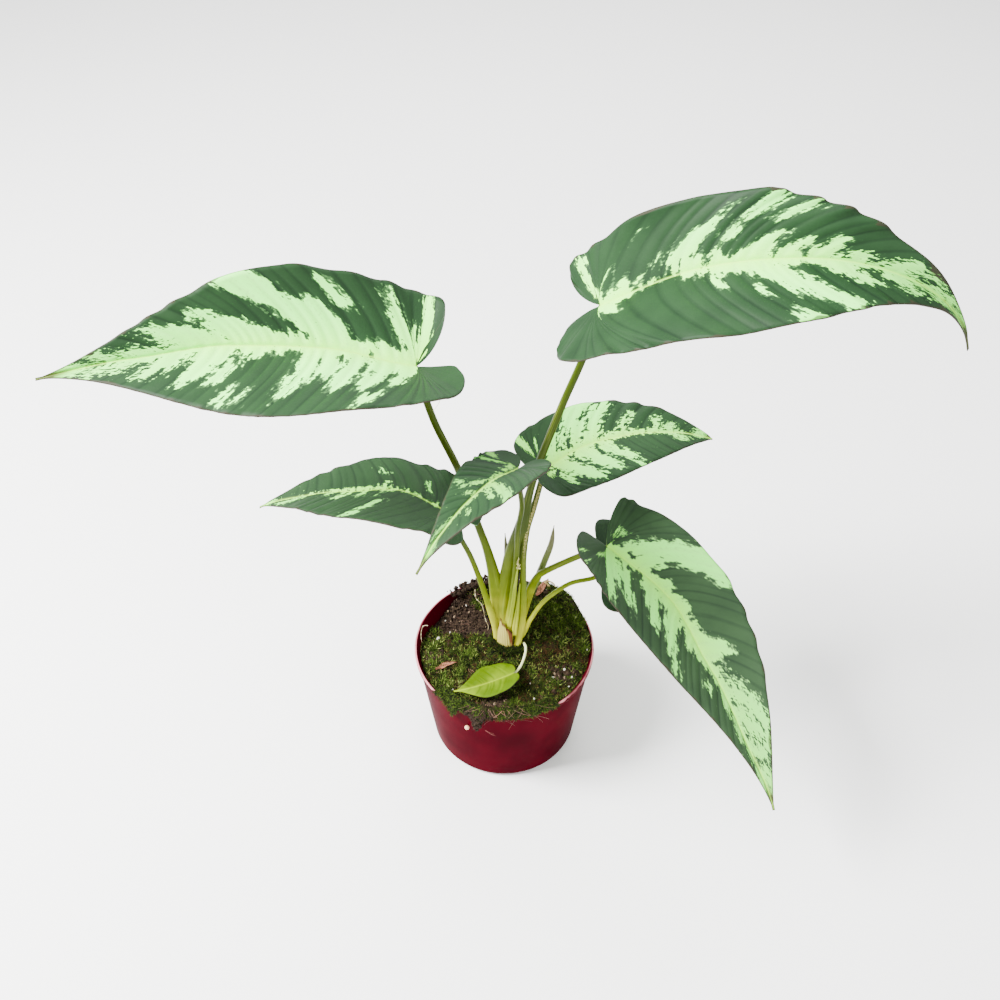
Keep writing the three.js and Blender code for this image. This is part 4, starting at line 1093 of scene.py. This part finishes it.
class PLANT_OT_soil(PlantMaker, bpy.types.Operator):
    """Lays the damp soil with its loose crumbs, bark and perlite"""

    bl_idname = "plant.soil"
    bl_label = "Soil"

    def make(self, sizes, colours):
        rings = 54
        bm, u, v = mapped_sheet(220, rings + 6)
        row = np.round(v * (rings + 6))
        degrees = mix(MOSS["from"], MOSS["from"] + 360, u)
        turn = np.radians(degrees)
        turned = np.where(degrees > MOSS["to"], degrees - 360, degrees)
        bare = (turned < MOSS["from"]) | (degrees > MOSS["to"])
        depth = GAP + np.where(bare, MOSS["thinnest"], moss_thickness(degrees))
        x, y, z = ground_place(turn, np.clip((row - 2) / rings, 0, 1), depth)
        places = rough(np.stack([x, y, z], 1).tolist(), 2.6, 0.55, 3.0)
        floor_z = POT["floor"] + GAP
        low_reach = inner_radius(POT["floor"]) - 2 * GAP
        for i, (step, angle) in enumerate(zip(row, turn)):
            rim = (math.cos(angle), math.sin(angle))
            if step < 2:
                reach = CROWN["hole"] * step
                places[i] = [CROWN["x"] + reach * rim[0], CROWN["y"] + reach * rim[1], CROWN["bottom"] - GAP]
            elif step > rings + 2:
                reach = low_reach * (rings + 6 - step) / 3
                places[i] = [reach * rim[0], reach * rim[1], floor_z]
        send(bm, np.array(places) * MM)
        tidy_mesh(bm, 1e-6)
        piece("peat", bm, [self.finish(colours)], ["soil"])
        self.crumbs(sizes, colours)
        self.perlite(colours)

    def finish(self, colours):
        finish = Finish("damp_peat", roughness=0.95, Specular_IOR_Level=0.1)
        place = finish.place()
        grain = finish.noise(place, 900.0, 4.0)
        patch = finish.noise(place, 120.0, 3.0)
        base = finish.fade(grain * 0.6 + patch * 0.4, 0.42, 0.66, colours.soil, colours.soil_light)
        finish.set(Base_Color=base, Roughness=0.82 + 0.15 * grain)
        finish.bump(grain, 0.0006, 1.0)
        return finish

    def crumbs(self, sizes, colours):
        """Crumbs lie thick on the bare soil at the back left, and in a few patches in the moss."""
        rng = random.Random(11)
        shares = [patch[3] for patch in CRUMB_PATCHES]
        places, tints = [], []
        while len(places) < sizes.crumbs:
            px, py, spread, _ = rng.choices(CRUMB_PATCHES, shares)[0]
            x, y = rng.gauss(px, spread * 0.6), rng.gauss(py, spread * 0.6)
            z = float(ground_height(x, y))
            reach, wall = math.hypot(x, y), inner_radius(min(z, 67))
            if reach > wall - WALL_SPACE or math.hypot(x - CROWN["x"], y - CROWN["y"]) < CROWN_SPACE:
                continue
            z = float(rolled(z, reach / wall))
            size = 0.35 + 0.75 * rng.random() ** 2.5
            squash = Matrix.Diagonal((size * rng.uniform(0.7, 1.6), size, size * rng.uniform(0.5, 1), 1))
            spin = any_way(rng)
            lift = rng.uniform(-0.3, 0.5)
            places.append(moved(x, y, z + lift) @ spin @ squash @ Matrix.Scale(MM, 4))
            tints.append(rng.random())
        for i in range(FRINGE_CRUMBS + RIM_CRUMBS):
            in_fringe = i < FRINGE_CRUMBS
            spin = any_way(rng)
            if in_fringe:
                (x, y, z), outward = fringe_place(rng.gauss(0.38, 0.05), rng.random())
                x, y = x + outward[0] * 0.9, y + outward[1] * 0.9
            else:
                turn, reach = math.radians(rng.gauss(113, 8)), rng.uniform(44, 50.5)
                x, y = reach * math.cos(turn), reach * math.sin(turn)
                z = POT["height"] + rng.uniform(0.2, 3.2)
            size = rng.uniform(0.3, 0.9 if in_fringe else 1.3) * MM
            places.append(moved(x, y, z) @ spin @ Matrix.Diagonal((size * 1.5, size, size, 1)))
            tints.append(rng.random() * 0.6)
        bm = bmesh.new()
        bmesh.ops.create_icosphere(bm, subdivisions=1, radius=1)
        for i, vert in enumerate(bm.verts):
            vert.co *= 0.72 + 0.5 * random.Random(i).random()
        finish = Finish("crumb", roughness=0.9, Specular_IOR_Level=0.1)
        tint = finish.attribute("tint", "Fac")
        base = finish.fade(tint, 0.1, 0.95, colours.soil, colours.soil_light)
        base = finish.fade(tint, 0.96, 0.98, base, srgb(128, 108, 88))
        finish.set(Base_Color=base)
        finish.bump(finish.noise(finish.place(), 1600.0, 3.0), 0.0003)
        piece("soil_crumbs", scatter(template_of(bm), places, tints), [finish], rounded=False)

    def perlite(self, colours):
        rng = random.Random(5)
        places = []
        for x, y, size in PERLITE:
            z = float(ground_height(x, y)) + 0.7
            spin = any_way(rng)
            shape = Matrix.Diagonal((size, size * rng.uniform(0.7, 1), size * rng.uniform(0.6, 0.9), 1))
            places.append(moved(x, y, z) @ spin @ shape @ Matrix.Scale(MM, 4))
        bm = bmesh.new()
        bmesh.ops.create_icosphere(bm, subdivisions=2, radius=1)
        for vert in bm.verts:
            vert.co *= 1 + 0.3 * noise.noise(vert.co * 1.7)
        finish = wavering("perlite", 3000.0, 2.0, 0.4, 0.7, srgb(170, 164, 150), colours.perlite,
                          roughness=0.85, relief=0.0002)
        piece("perlite_grains", scatter(template_of(bm), places, [0.5] * len(places)), [finish])


class PLANT_OT_moss(PlantMaker, bpy.types.Operator):
    """Grows the moss: a cushioned mat and thousands of short sprigs"""

    bl_idname = "plant.moss"
    bl_label = "Moss"

    def make(self, sizes, colours):
        bm, u, v = mapped_sheet(200, 44)
        degrees = mix(MOSS["from"], MOSS["to"], u)
        thickness = moss_thickness(degrees)
        x, y, z = ground_place(np.radians(degrees), v, thickness)
        cushion = moss_cushion(x, y) * smooth(thickness - 1)
        above = np.array(rough(np.stack([x, y, z + thickness + cushion - 0.4], 1).tolist(), 2.2, 0.6, 8.0))
        slab(bm, above, np.stack([x, y, z], 1))
        piece("moss_mat", bm, [self.mat_finish(colours)], ["moss"])
        self.fringe(colours)
        self.sprigs(sizes, colours)

    def mat_finish(self, colours):
        finish = Finish("moss_mat", roughness=0.95, Specular_IOR_Level=0.05)
        place = finish.place()
        patch = finish.noise(place, 95.0, 3.0)
        grain = finish.noise(place, 1100.0, 3.0)
        # Painted shade: fine patches of moss in shade among moss in the light.
        base = finish.fade(grain, 0.4, 0.7, colours.moss_in_shade, colours.moss)
        base = finish.blend(finish.step(patch, 0.52, 0.66) * 0.8, base, colours.soil)
        finish.set(Base_Color=base)
        finish.bump(grain, 0.0008)
        return finish

    def sprigs(self, sizes, colours):
        rng = random.Random(21)
        places, tints = [], []
        height = sizes.sprig_height
        while len(places) < sizes.sprigs:
            degrees = rng.uniform(MOSS["from"] - 6, MOSS["to"] + 6)
            out = math.sqrt(rng.uniform(0.0, 0.98))
            turn = np.array([math.radians(degrees)])
            x, y, z = (float(axis[0]) for axis in ground_place(turn, np.array([out]), 0))
            near = min(math.hypot(x - bx, y - by) / size for bx, by, size in BARE_MOSS)
            if near < 1 and rng.random() > near * near * 0.5:
                continue
            patch = noise.fractal(Vector((x / 7, y / 7, 4)), 0.7, 2.0, 3)
            if patch < -0.2 and rng.random() < 0.6:
                continue
            z += float(moss_cushion(x, y)) * 0.8 - 0.6
            grow = height * rng.uniform(0.5, 1.2) * (1 + 0.6 * patch)
            places.append(self.sprig((x, y, z), grow, rng))
            # Painted light on the moss at the back right, and a painted shadow at the front right.
            painted_light = 0.4 * math.exp(-((x - 34) ** 2 + (y - 22) ** 2) / 400)
            painted_shadow = 0.45 * math.exp(-((x - 26) ** 2 + (y + 10) ** 2) / 260)
            tint = min(max(0.36 + 0.8 * patch + painted_light - painted_shadow + rng.gauss(0, 0.36), 0), 1)
            tints.append(1.3 if rng.random() < 0.07 else tint)
        for _ in range(sizes.sprigs // 12):
            turn = rng.choice((rng.uniform(0, 2 * math.pi), rng.gauss(4.6, 0.5)))
            reach = rng.uniform(7.7, 10.2)
            x, y = CROWN["x"] + reach * math.cos(turn), CROWN["y"] + reach * math.sin(turn)
            z = mix(float(ground_height(x, y)), CROWN["top"] + 1.2, rng.random()) + rng.uniform(-0.8, 0.6)
            places.append(self.sprig((x, y, z), height * rng.uniform(0.7, 1.3), rng))
            tints.append(rng.uniform(0, 0.75))
        for _ in range(sizes.sprigs // 9):
            along, down = rng.random(), rng.random() ** 1.4
            (x, y, z), outward = fringe_place(along, down)
            grow = height * rng.uniform(0.5, 1.0)
            places.append(self.sprig((x, y, z - 0.2), grow, rng, outward, 1.1 * down + 0.3))
            tints.append(rng.uniform(0, 0.8) * (0.3 if 0.3 < along < 0.5 else 1))
        bm = bmesh.new()
        for turn in (0.3, 2.4, 4.4):
            wing = bmesh.ops.create_cone(bm, segments=3, radius1=0.12, radius2=0.0, depth=1.0, cap_ends=True)
            tilt = Euler((0.5, 0, turn)).to_matrix().to_4x4()
            bmesh.ops.transform(bm, matrix=tilt @ Matrix.Translation((0, 0, 0.5)), verts=wing["verts"])
        finish = Finish("moss_sprig", roughness=0.8, Specular_IOR_Level=0.1)
        tint = finish.attribute("tint", "Fac")
        # Tint runs from moss in painted shade to moss in painted light; the lowest tints are dead brown sprigs.
        base = finish.fade(tint, 0.15, 0.8, colours.moss_in_shade, colours.moss)
        base = finish.blend(finish.step(tint, 0.75, 1.0) * 0.7, base, srgb(88, 110, 40))
        base = finish.blend(1.0 - finish.step(tint, 0.0, 0.08), base, srgb(70, 48, 28))
        base = finish.fade(tint, 1.1, 1.2, base, srgb(134, 146, 74))
        finish.set(Base_Color=base)
        piece("moss_sprigs", scatter(template_of(bm), places, tints), [finish], rounded=False)

    def sprig(self, place, grow, rng, outward=None, lean=0.0):
        """Where a sprig stands: it leans at random, or outward by the given angle."""
        turn = Euler((rng.gauss(0, 0.5), rng.gauss(0, 0.5), rng.uniform(0, TURN))).to_matrix().to_4x4()
        if outward:
            axis = Vector((-outward[1], outward[0], 0))
            turn = Matrix.Rotation(lean, 4, axis) @ turn
        return moved(*place) @ turn @ Matrix.Diagonal((grow, grow, grow, 1))

    def fringe(self, colours):
        """Matted moss and peat that creeps over the front of the lip and hangs from it."""
        bm, u, v = mapped_sheet(220, 26)
        flat, raised = [], []
        for along, down in zip(u, v):
            place, outward = fringe_place(along, down)
            lump = 0.75 + 0.6 * noise.fractal(Vector((along * 40, down * 9, 2)), 0.7, 2.0, 4)
            thick = FRINGE["thickness"] * lump * (1 - down ** 3) * math.sin(math.pi * min(along * 12, 0.5))
            thick = max(thick * math.sin(math.pi * min(1 - along, 0.5)), 0.05)
            over = min(down * 2.2, 1)
            lift = Vector((outward[0] * over, outward[1] * over, 1.2 - over))
            flat.append(place)
            raised.append(Vector(place) + lift.normalized() * thick)
        slab(bm, np.array(raised), np.array(flat))
        piece("moss_fringe", bm, [self.mat_finish(colours)])


class PLANT_OT_crown(PlantMaker, bpy.types.Operator):
    """Makes the crown and the dry papery sheath on its front"""

    bl_idname = "plant.crown"
    bl_label = "Crown"

    def make(self, sizes, colours):
        radius, top, bottom = CROWN["radius"], CROWN["top"], CROWN["bottom"]
        profile = [(0, bottom), (radius - 1.5, bottom), (radius, bottom + 3), (radius, top - 1),
                   (radius - 0.3, top - 0.3), (radius - 0.6, top), (0, top)]
        bm = lathe(profile, 64, 1e-6, (CROWN["x"], CROWN["y"]))
        finish = wavering("crown", 300.0, 4.0, 0.35, 0.65, srgb(150, 128, 78), srgb(206, 200, 138),
                          roughness=0.6, swing=0.2, relief=0.0004, Specular_IOR_Level=0.3)
        piece("crown_flesh", bm, [finish], ["crown"])
        self.sheath(colours)

    def sheath(self, colours):
        bm, u, v = mapped_sheet(48, 32)
        turn = np.radians(mix(SHEATH["from"], SHEATH["to"], u))
        torn = mix(1, SHEATH["shortest"], u) * mix(SHEATH["corner"], 1, smooth(u / 0.25))
        torn = torn + 0.05 * np.sin(u * 61) * np.sin(u * 37)
        z = FOOT - 1.5 + v * (SHEATH["height"] + 1.5) * torn
        radius = mix(SHEATH["radius"], SHEATH["top_radius"], v * torn) + 0.14 * np.sin(u * 46 + v * 4)
        outer, inner = (np.stack([CROWN["x"] + out * np.cos(turn), CROWN["y"] + out * np.sin(turn), z], 1)
                        for out in (radius + 0.75, radius + 0.4))
        slab(bm, outer, inner, merge=1e-6)
        finish = Finish("papery_skin", Specular_IOR_Level=0.1)
        u, v, _ = finish.map()
        grain = finish.streaks(u, v, 34.0, 3.0, 2.0, 3.0)
        base = finish.fade(grain, 0.35, 0.7, srgb(190, 182, 84), colours.papery)
        brown = finish.step(u * 0.8 + v * 0.35 + (grain - 0.5) * 0.2, 0.78, 0.92)
        rim = finish.step(v + (grain - 0.5) * 0.12, 0.88, 0.96)
        base = finish.blend(brown, base, colours.papery_dark)
        base = finish.blend(rim * 0.9, base, srgb(74, 40, 24))
        finish.set(Base_Color=base, Roughness=0.7 + 0.1 * grain)
        finish.bump(grain, 0.0003)
        piece("papery_skin", bm, [finish], ["papery_sheath"])


class PLANT_OT_stalks(PlantMaker, bpy.types.Operator):
    """Draws the leaf stalks from the crown up to their blades"""

    bl_idname = "plant.stalks"
    bl_label = "Stalks"

    def make(self, sizes, colours):
        plain, speckled = stalk_finish(colours), stalk_finish(colours, "speckled")
        pale = wavering("cream_stalk", 260.0, 3.0, 0.4, 0.65, srgb(214, 220, 150), srgb(228, 230, 182),
                        roughness=0.45, swing=0.1, Specular_IOR_Level=0.4)
        for i, (points, half, taper) in enumerate(STRIPS):
            def flat(t, turn, half=half, taper=taper):
                return 0.35 + half * (1 - float(smooth((t - taper) / (1.05 - taper)))) * math.cos(turn) ** 2

            strip = tube(points, flat, 16, 40)
            piece(f"torn_strip_{i + 1}", strip, [stalk_finish(colours, "strip")])
        for name in STALKS:
            leaf = {**SHAPE_DEFAULTS, **BLADE_SHAPES[name]}
            middle, normal, *_, keel = blade_surface(leaf, np.array([0.5]), np.array([0.0]))
            top = middle[0] - normal[0] * (sizes.blade_thickness / MM / 2 + keel[0] - 0.1)
            finish = {"lime": pale, "middle_right": speckled}.get(name, plain)
            piece(f"stalk_{name}", self.stalk(name, top, normal[0]), [finish], [f"petiole_{name}"])

    def stalk(self, name, top, top_plane):
        """A stalk is thick and winged in its sheath, grooved above it and swollen below the blade."""
        foot, via, foot_radius, radius, top_radius = STALKS[name]
        left, right, start, end = SHEATHING.get(name, (0, 0, 0, 1))

        def girth(t, turn):
            sheathed = 1 - float(smooth(t / 0.35))
            winged = float(1 - smooth((t - start) / (end - start))) * (0.45 + 0.55 * float(smooth(t / 0.12)))
            wing = left if math.cos(turn) > 0 else right
            groove = math.exp(-((turn - math.pi * 0.5) / 0.5) ** 2) * 0.16
            swollen = 0.12 * math.exp(-(((t - 0.985) / 0.02) ** 2))
            plain = mix(radius, top_radius, t) * (1 + swollen)
            plain = plain * (1 - groove * (1 - sheathed)) + (foot_radius - radius) * sheathed
            return plain + wing * winged * math.cos(turn) ** 2

        return tube([(*foot, FOOT), *via, tuple(top)], girth, 20, 90, UP, top_plane)


class PLANT_OT_shoots(PlantMaker, bpy.types.Operator):
    """Rolls the two young shoots that still stand closed"""

    bl_idname = "plant.shoots"
    bl_label = "Shoots"

    def make(self, sizes, colours):
        finish = Finish("rolled_shoot", Specular_IOR_Level=0.4)
        u, v, _ = finish.map()
        grain = finish.streaks(u, v, 22.0, 8.0, 5.0, 3.0)
        height = v + (grain - 0.5) * 0.25
        base = finish.fade(height, 0.05, 0.4, srgb(150, 168, 36), srgb(84, 100, 14))
        base = finish.blend(finish.step(height, 0.62, 1.0) * 0.8, base, colours.shoot_tip)
        base = finish.fade(height, 0.95, 1.02, base, srgb(58, 42, 34))
        finish.set(Base_Color=base, Roughness=0.5 + 0.1 * grain)
        finish.bump(grain, 0.0003)

        for name, (radius, points) in SHOOTS.items():
            def girth(t, turn, radius=radius):
                seam = 0.16 * math.exp(-((((turn + t * 5) % (2 * math.pi)) - math.pi) / 0.28) ** 2)
                return max(radius * (1 - t ** 9), 0.25) * (1 - seam)

            piece(f"rolled_{name}", tube(points, girth, 20, 70, UP), [finish], [name])


class PLANT_OT_blades(PlantMaker, bpy.types.Operator):
    """Spreads the leaf blades with their veins and pale markings"""

    bl_idname = "plant.blades"
    bl_label = "Blades"

    def make(self, sizes, colours):
        for name, leaf in BLADE_SHAPES.items():
            columns, rows = next(counts for longer, *counts in BLADE_SHEETS if leaf["length"] > longer)
            bm = blade_bmesh(name, sizes, columns, rows)
            lime = name == "lime"
            finishes = [blade_finish(name, colours, lime), underside_finish(name, colours)]
            piece(f"leaf_{name}", bm, finishes, [f"blade_{name}"])


class PLANT_OT_litter(PlantMaker, bpy.types.Operator):
    """Strews the withered scraps, the fertiliser pellet and the fine roots"""

    bl_idname = "plant.litter"
    bl_label = "Litter"

    def make(self, sizes, colours):
        finish = Finish("withered_leaf", Specular_IOR_Level=0.2)
        u, v, _ = finish.map()
        grain = finish.noise(finish.join(u * 9.0, v * 5.0, 2.0), 2.0, 4.0)
        base = finish.fade(grain, 0.35, 0.65, colours.withered, srgb(170, 116, 88))
        finish.set(Base_Color=base, Roughness=0.75)
        finish.bump(grain, 0.0006)
        for name, scrap in SCRAPS.items():
            bm, u, v = mapped_sheet(20, 30)
            along = (v - 0.5) * scrap["length"]
            ragged = 1 + 0.15 * np.sin(v * 37) * np.sin(v * 23)
            across = (u - 0.5) * scrap["width"] * np.sin(math.pi * mix(0.12, 0.95, v)) * ragged
            turn = math.radians(scrap["turn"])
            across_bent = across + scrap["bend"] * along ** 2
            x = scrap["at"][0] + along * math.cos(turn) - across_bent * math.sin(turn)
            y = scrap["at"][1] + along * math.sin(turn) + across_bent * math.cos(turn)
            curl = math.sin(math.radians(scrap["curl"])) * (across ** 2 / scrap["width"] + along ** 2 * 0.02)
            crease = 0.25 * np.sin(u * 9 + v * 14)
            z = ground_height(x, y) + moss_cushion(x, y) + scrap["lift"] + curl + crease + 0.3
            slab(bm, np.stack([x, y, z + 0.2], 1), np.stack([x, y, z - 0.1], 1), merge=1e-6)
            piece(f"dry_{name}", bm, [finish], [name])
        self.pellet(colours)
        self.roots(sizes, colours)
        self.strands()

    def pellet(self, colours):
        bm = bmesh.new()
        bmesh.ops.create_icosphere(bm, subdivisions=3, radius=PELLET["radius"] * MM,
                                   matrix=moved(*PELLET["place"]))
        finish = wavering("pellet", 700.0, 2.0, 0.4, 0.65, colours.pellet, srgb(190, 130, 96),
                          roughness=0.4, swing=0.2, Coat_Weight=0.2, Coat_Roughness=0.3)
        piece("fertiliser_pellet", bm, [finish])

    def roots(self, sizes, colours):
        """Fine roots: over the front lip, on the bare soil at the back left and by the crown."""
        rng = random.Random(31)
        lines = []
        for _ in range(ROOTS["lip"]):
            turn = math.radians(rng.choice((rng.uniform(250, 296), rng.gauss(266, 8))))
            lines.append(self.over_lip(turn, rng))
        for _ in range(ROOTS["bare"]):
            x, y = rng.gauss(-28, 8), rng.gauss(27, 8)
            if math.hypot(x, y) < ROOTS["reach"]:
                lines.append(self.on_ground(x, y, rng, 9))
        for _ in range(ROOTS["moss"]):
            angle, out = rng.uniform(0, TURN), rng.uniform(14, 42)
            lines.append(self.on_ground(out * math.cos(angle), out * math.sin(angle), rng, 6))
        bm = bundle(self.root(line, sizes.root_radius / MM * rng.uniform(0.5, 1.1)) for line in lines)
        finish = wavering("fine_root", 160.0, 2.0, 0.4, 0.62, colours.root, srgb(84, 58, 44), roughness=0.7)
        piece("fine_roots", bm, [finish])

    def root(self, line, thick):
        def girth(t, turn):
            return thick * (1.05 - t * 0.6)

        return tube(line, girth, 5, 12)

    def strand(self, points, thick):
        def girth(t, turn):
            return thick * (1 - 0.7 * t ** 3) * (1 + 0.15 * math.sin(t * 31))

        return tube(points, girth, 8, 28)

    def strands(self):
        """The roots and dry strands that stand out, and dark strands of painted shade between the stalks."""
        for tone, (red, green, blue) in STRAND_TONES.items():
            bm = bundle(self.strand(points, thick) for points, thick, kind in STRANDS if kind == tone)
            dark = srgb(red * 0.6, green * 0.55, blue * 0.5)
            finish = wavering(f"{tone}_strand", 500.0, 3.0, 0.4, 0.62, dark, srgb(red, green, blue),
                              roughness=0.7, relief=0.0003, Specular_IOR_Level=0.2)
            piece(f"{tone}_strands", bm, [finish])

    def over_lip(self, turn, rng):
        """A root that leaves the soil, crosses the lip and hangs down the outer wall."""
        points = []
        drift = rng.uniform(-0.5, 0.5)
        drop = rng.uniform(0.5, 2.5) if rng.random() < 0.7 else rng.uniform(3, 11)
        stations = [(-7, 0.9), (-3, 1.6), (0.2, 1.3), (0.9, -1.2), (1.0, -drop * 0.5 - 1), (1.1, -drop - 1.5)]
        for i, (out, rise) in enumerate(stations):
            angle = turn + drift * i / 5 + rng.uniform(-0.006, 0.006)
            height = POT["height"] + rise
            radius = (POT["rim"] if i < 4 else float(wall_radius(height))) + out - (0.9 if i == 3 else 0)
            points.append((radius * math.cos(angle), radius * math.sin(angle), height))
        return points

    def on_ground(self, x, y, rng, length):
        points = []
        heading = rng.uniform(0, TURN)
        for i in range(5):
            z = float(ground_height(x, y)) + rng.uniform(0.2, 1.5)
            points.append((x, y, z))
            heading += rng.gauss(0, 0.6)
            x, y = x + length / 5 * math.cos(heading), y + length / 5 * math.sin(heading)
            reach = math.hypot(x, y)
            if reach > ROOTS["reach"]:
                x, y = x * ROOTS["reach"] / reach, y * ROOTS["reach"] / reach
        return points


MAKERS = (PLANT_OT_stage, PLANT_OT_pot, PLANT_OT_soil, PLANT_OT_moss, PLANT_OT_crown, PLANT_OT_stalks,
          PLANT_OT_shoots, PLANT_OT_blades, PLANT_OT_litter)


class PLANT_PT_panel(bpy.types.Panel):
    """Lists the plant's makers, sizes and colours"""

    bl_idname = "PLANT_PT_panel"
    bl_label = "Potted Schismatoglottis"
    bl_space_type = "VIEW_3D"
    bl_region_type = "UI"
    bl_category = "Plant"

    def draw(self, context):
        for maker in MAKERS:
            self.layout.operator(maker.bl_idname)
        for group in (context.scene.plant_sizes, context.scene.plant_colours):
            box = self.layout.box()
            for name in group.bl_rna.properties.keys():
                if name not in ("rna_type", "name"):
                    box.prop(group, name)


CLASSES = (PlantSizes, PlantColours, *MAKERS, PLANT_PT_panel)


def register():
    for cls in CLASSES:
        bpy.utils.register_class(cls)
    bpy.types.Scene.plant_sizes = PointerProperty(type=PlantSizes)
    bpy.types.Scene.plant_colours = PointerProperty(type=PlantColours)


def unregister():
    del bpy.types.Scene.plant_sizes
    del bpy.types.Scene.plant_colours
    for cls in reversed(CLASSES):
        bpy.utils.unregister_class(cls)


def main():
    register()
    for maker in MAKERS:
        getattr(bpy.ops.plant, maker.bl_idname.split(".")[1])()


if __name__ == "__main__":
    main()
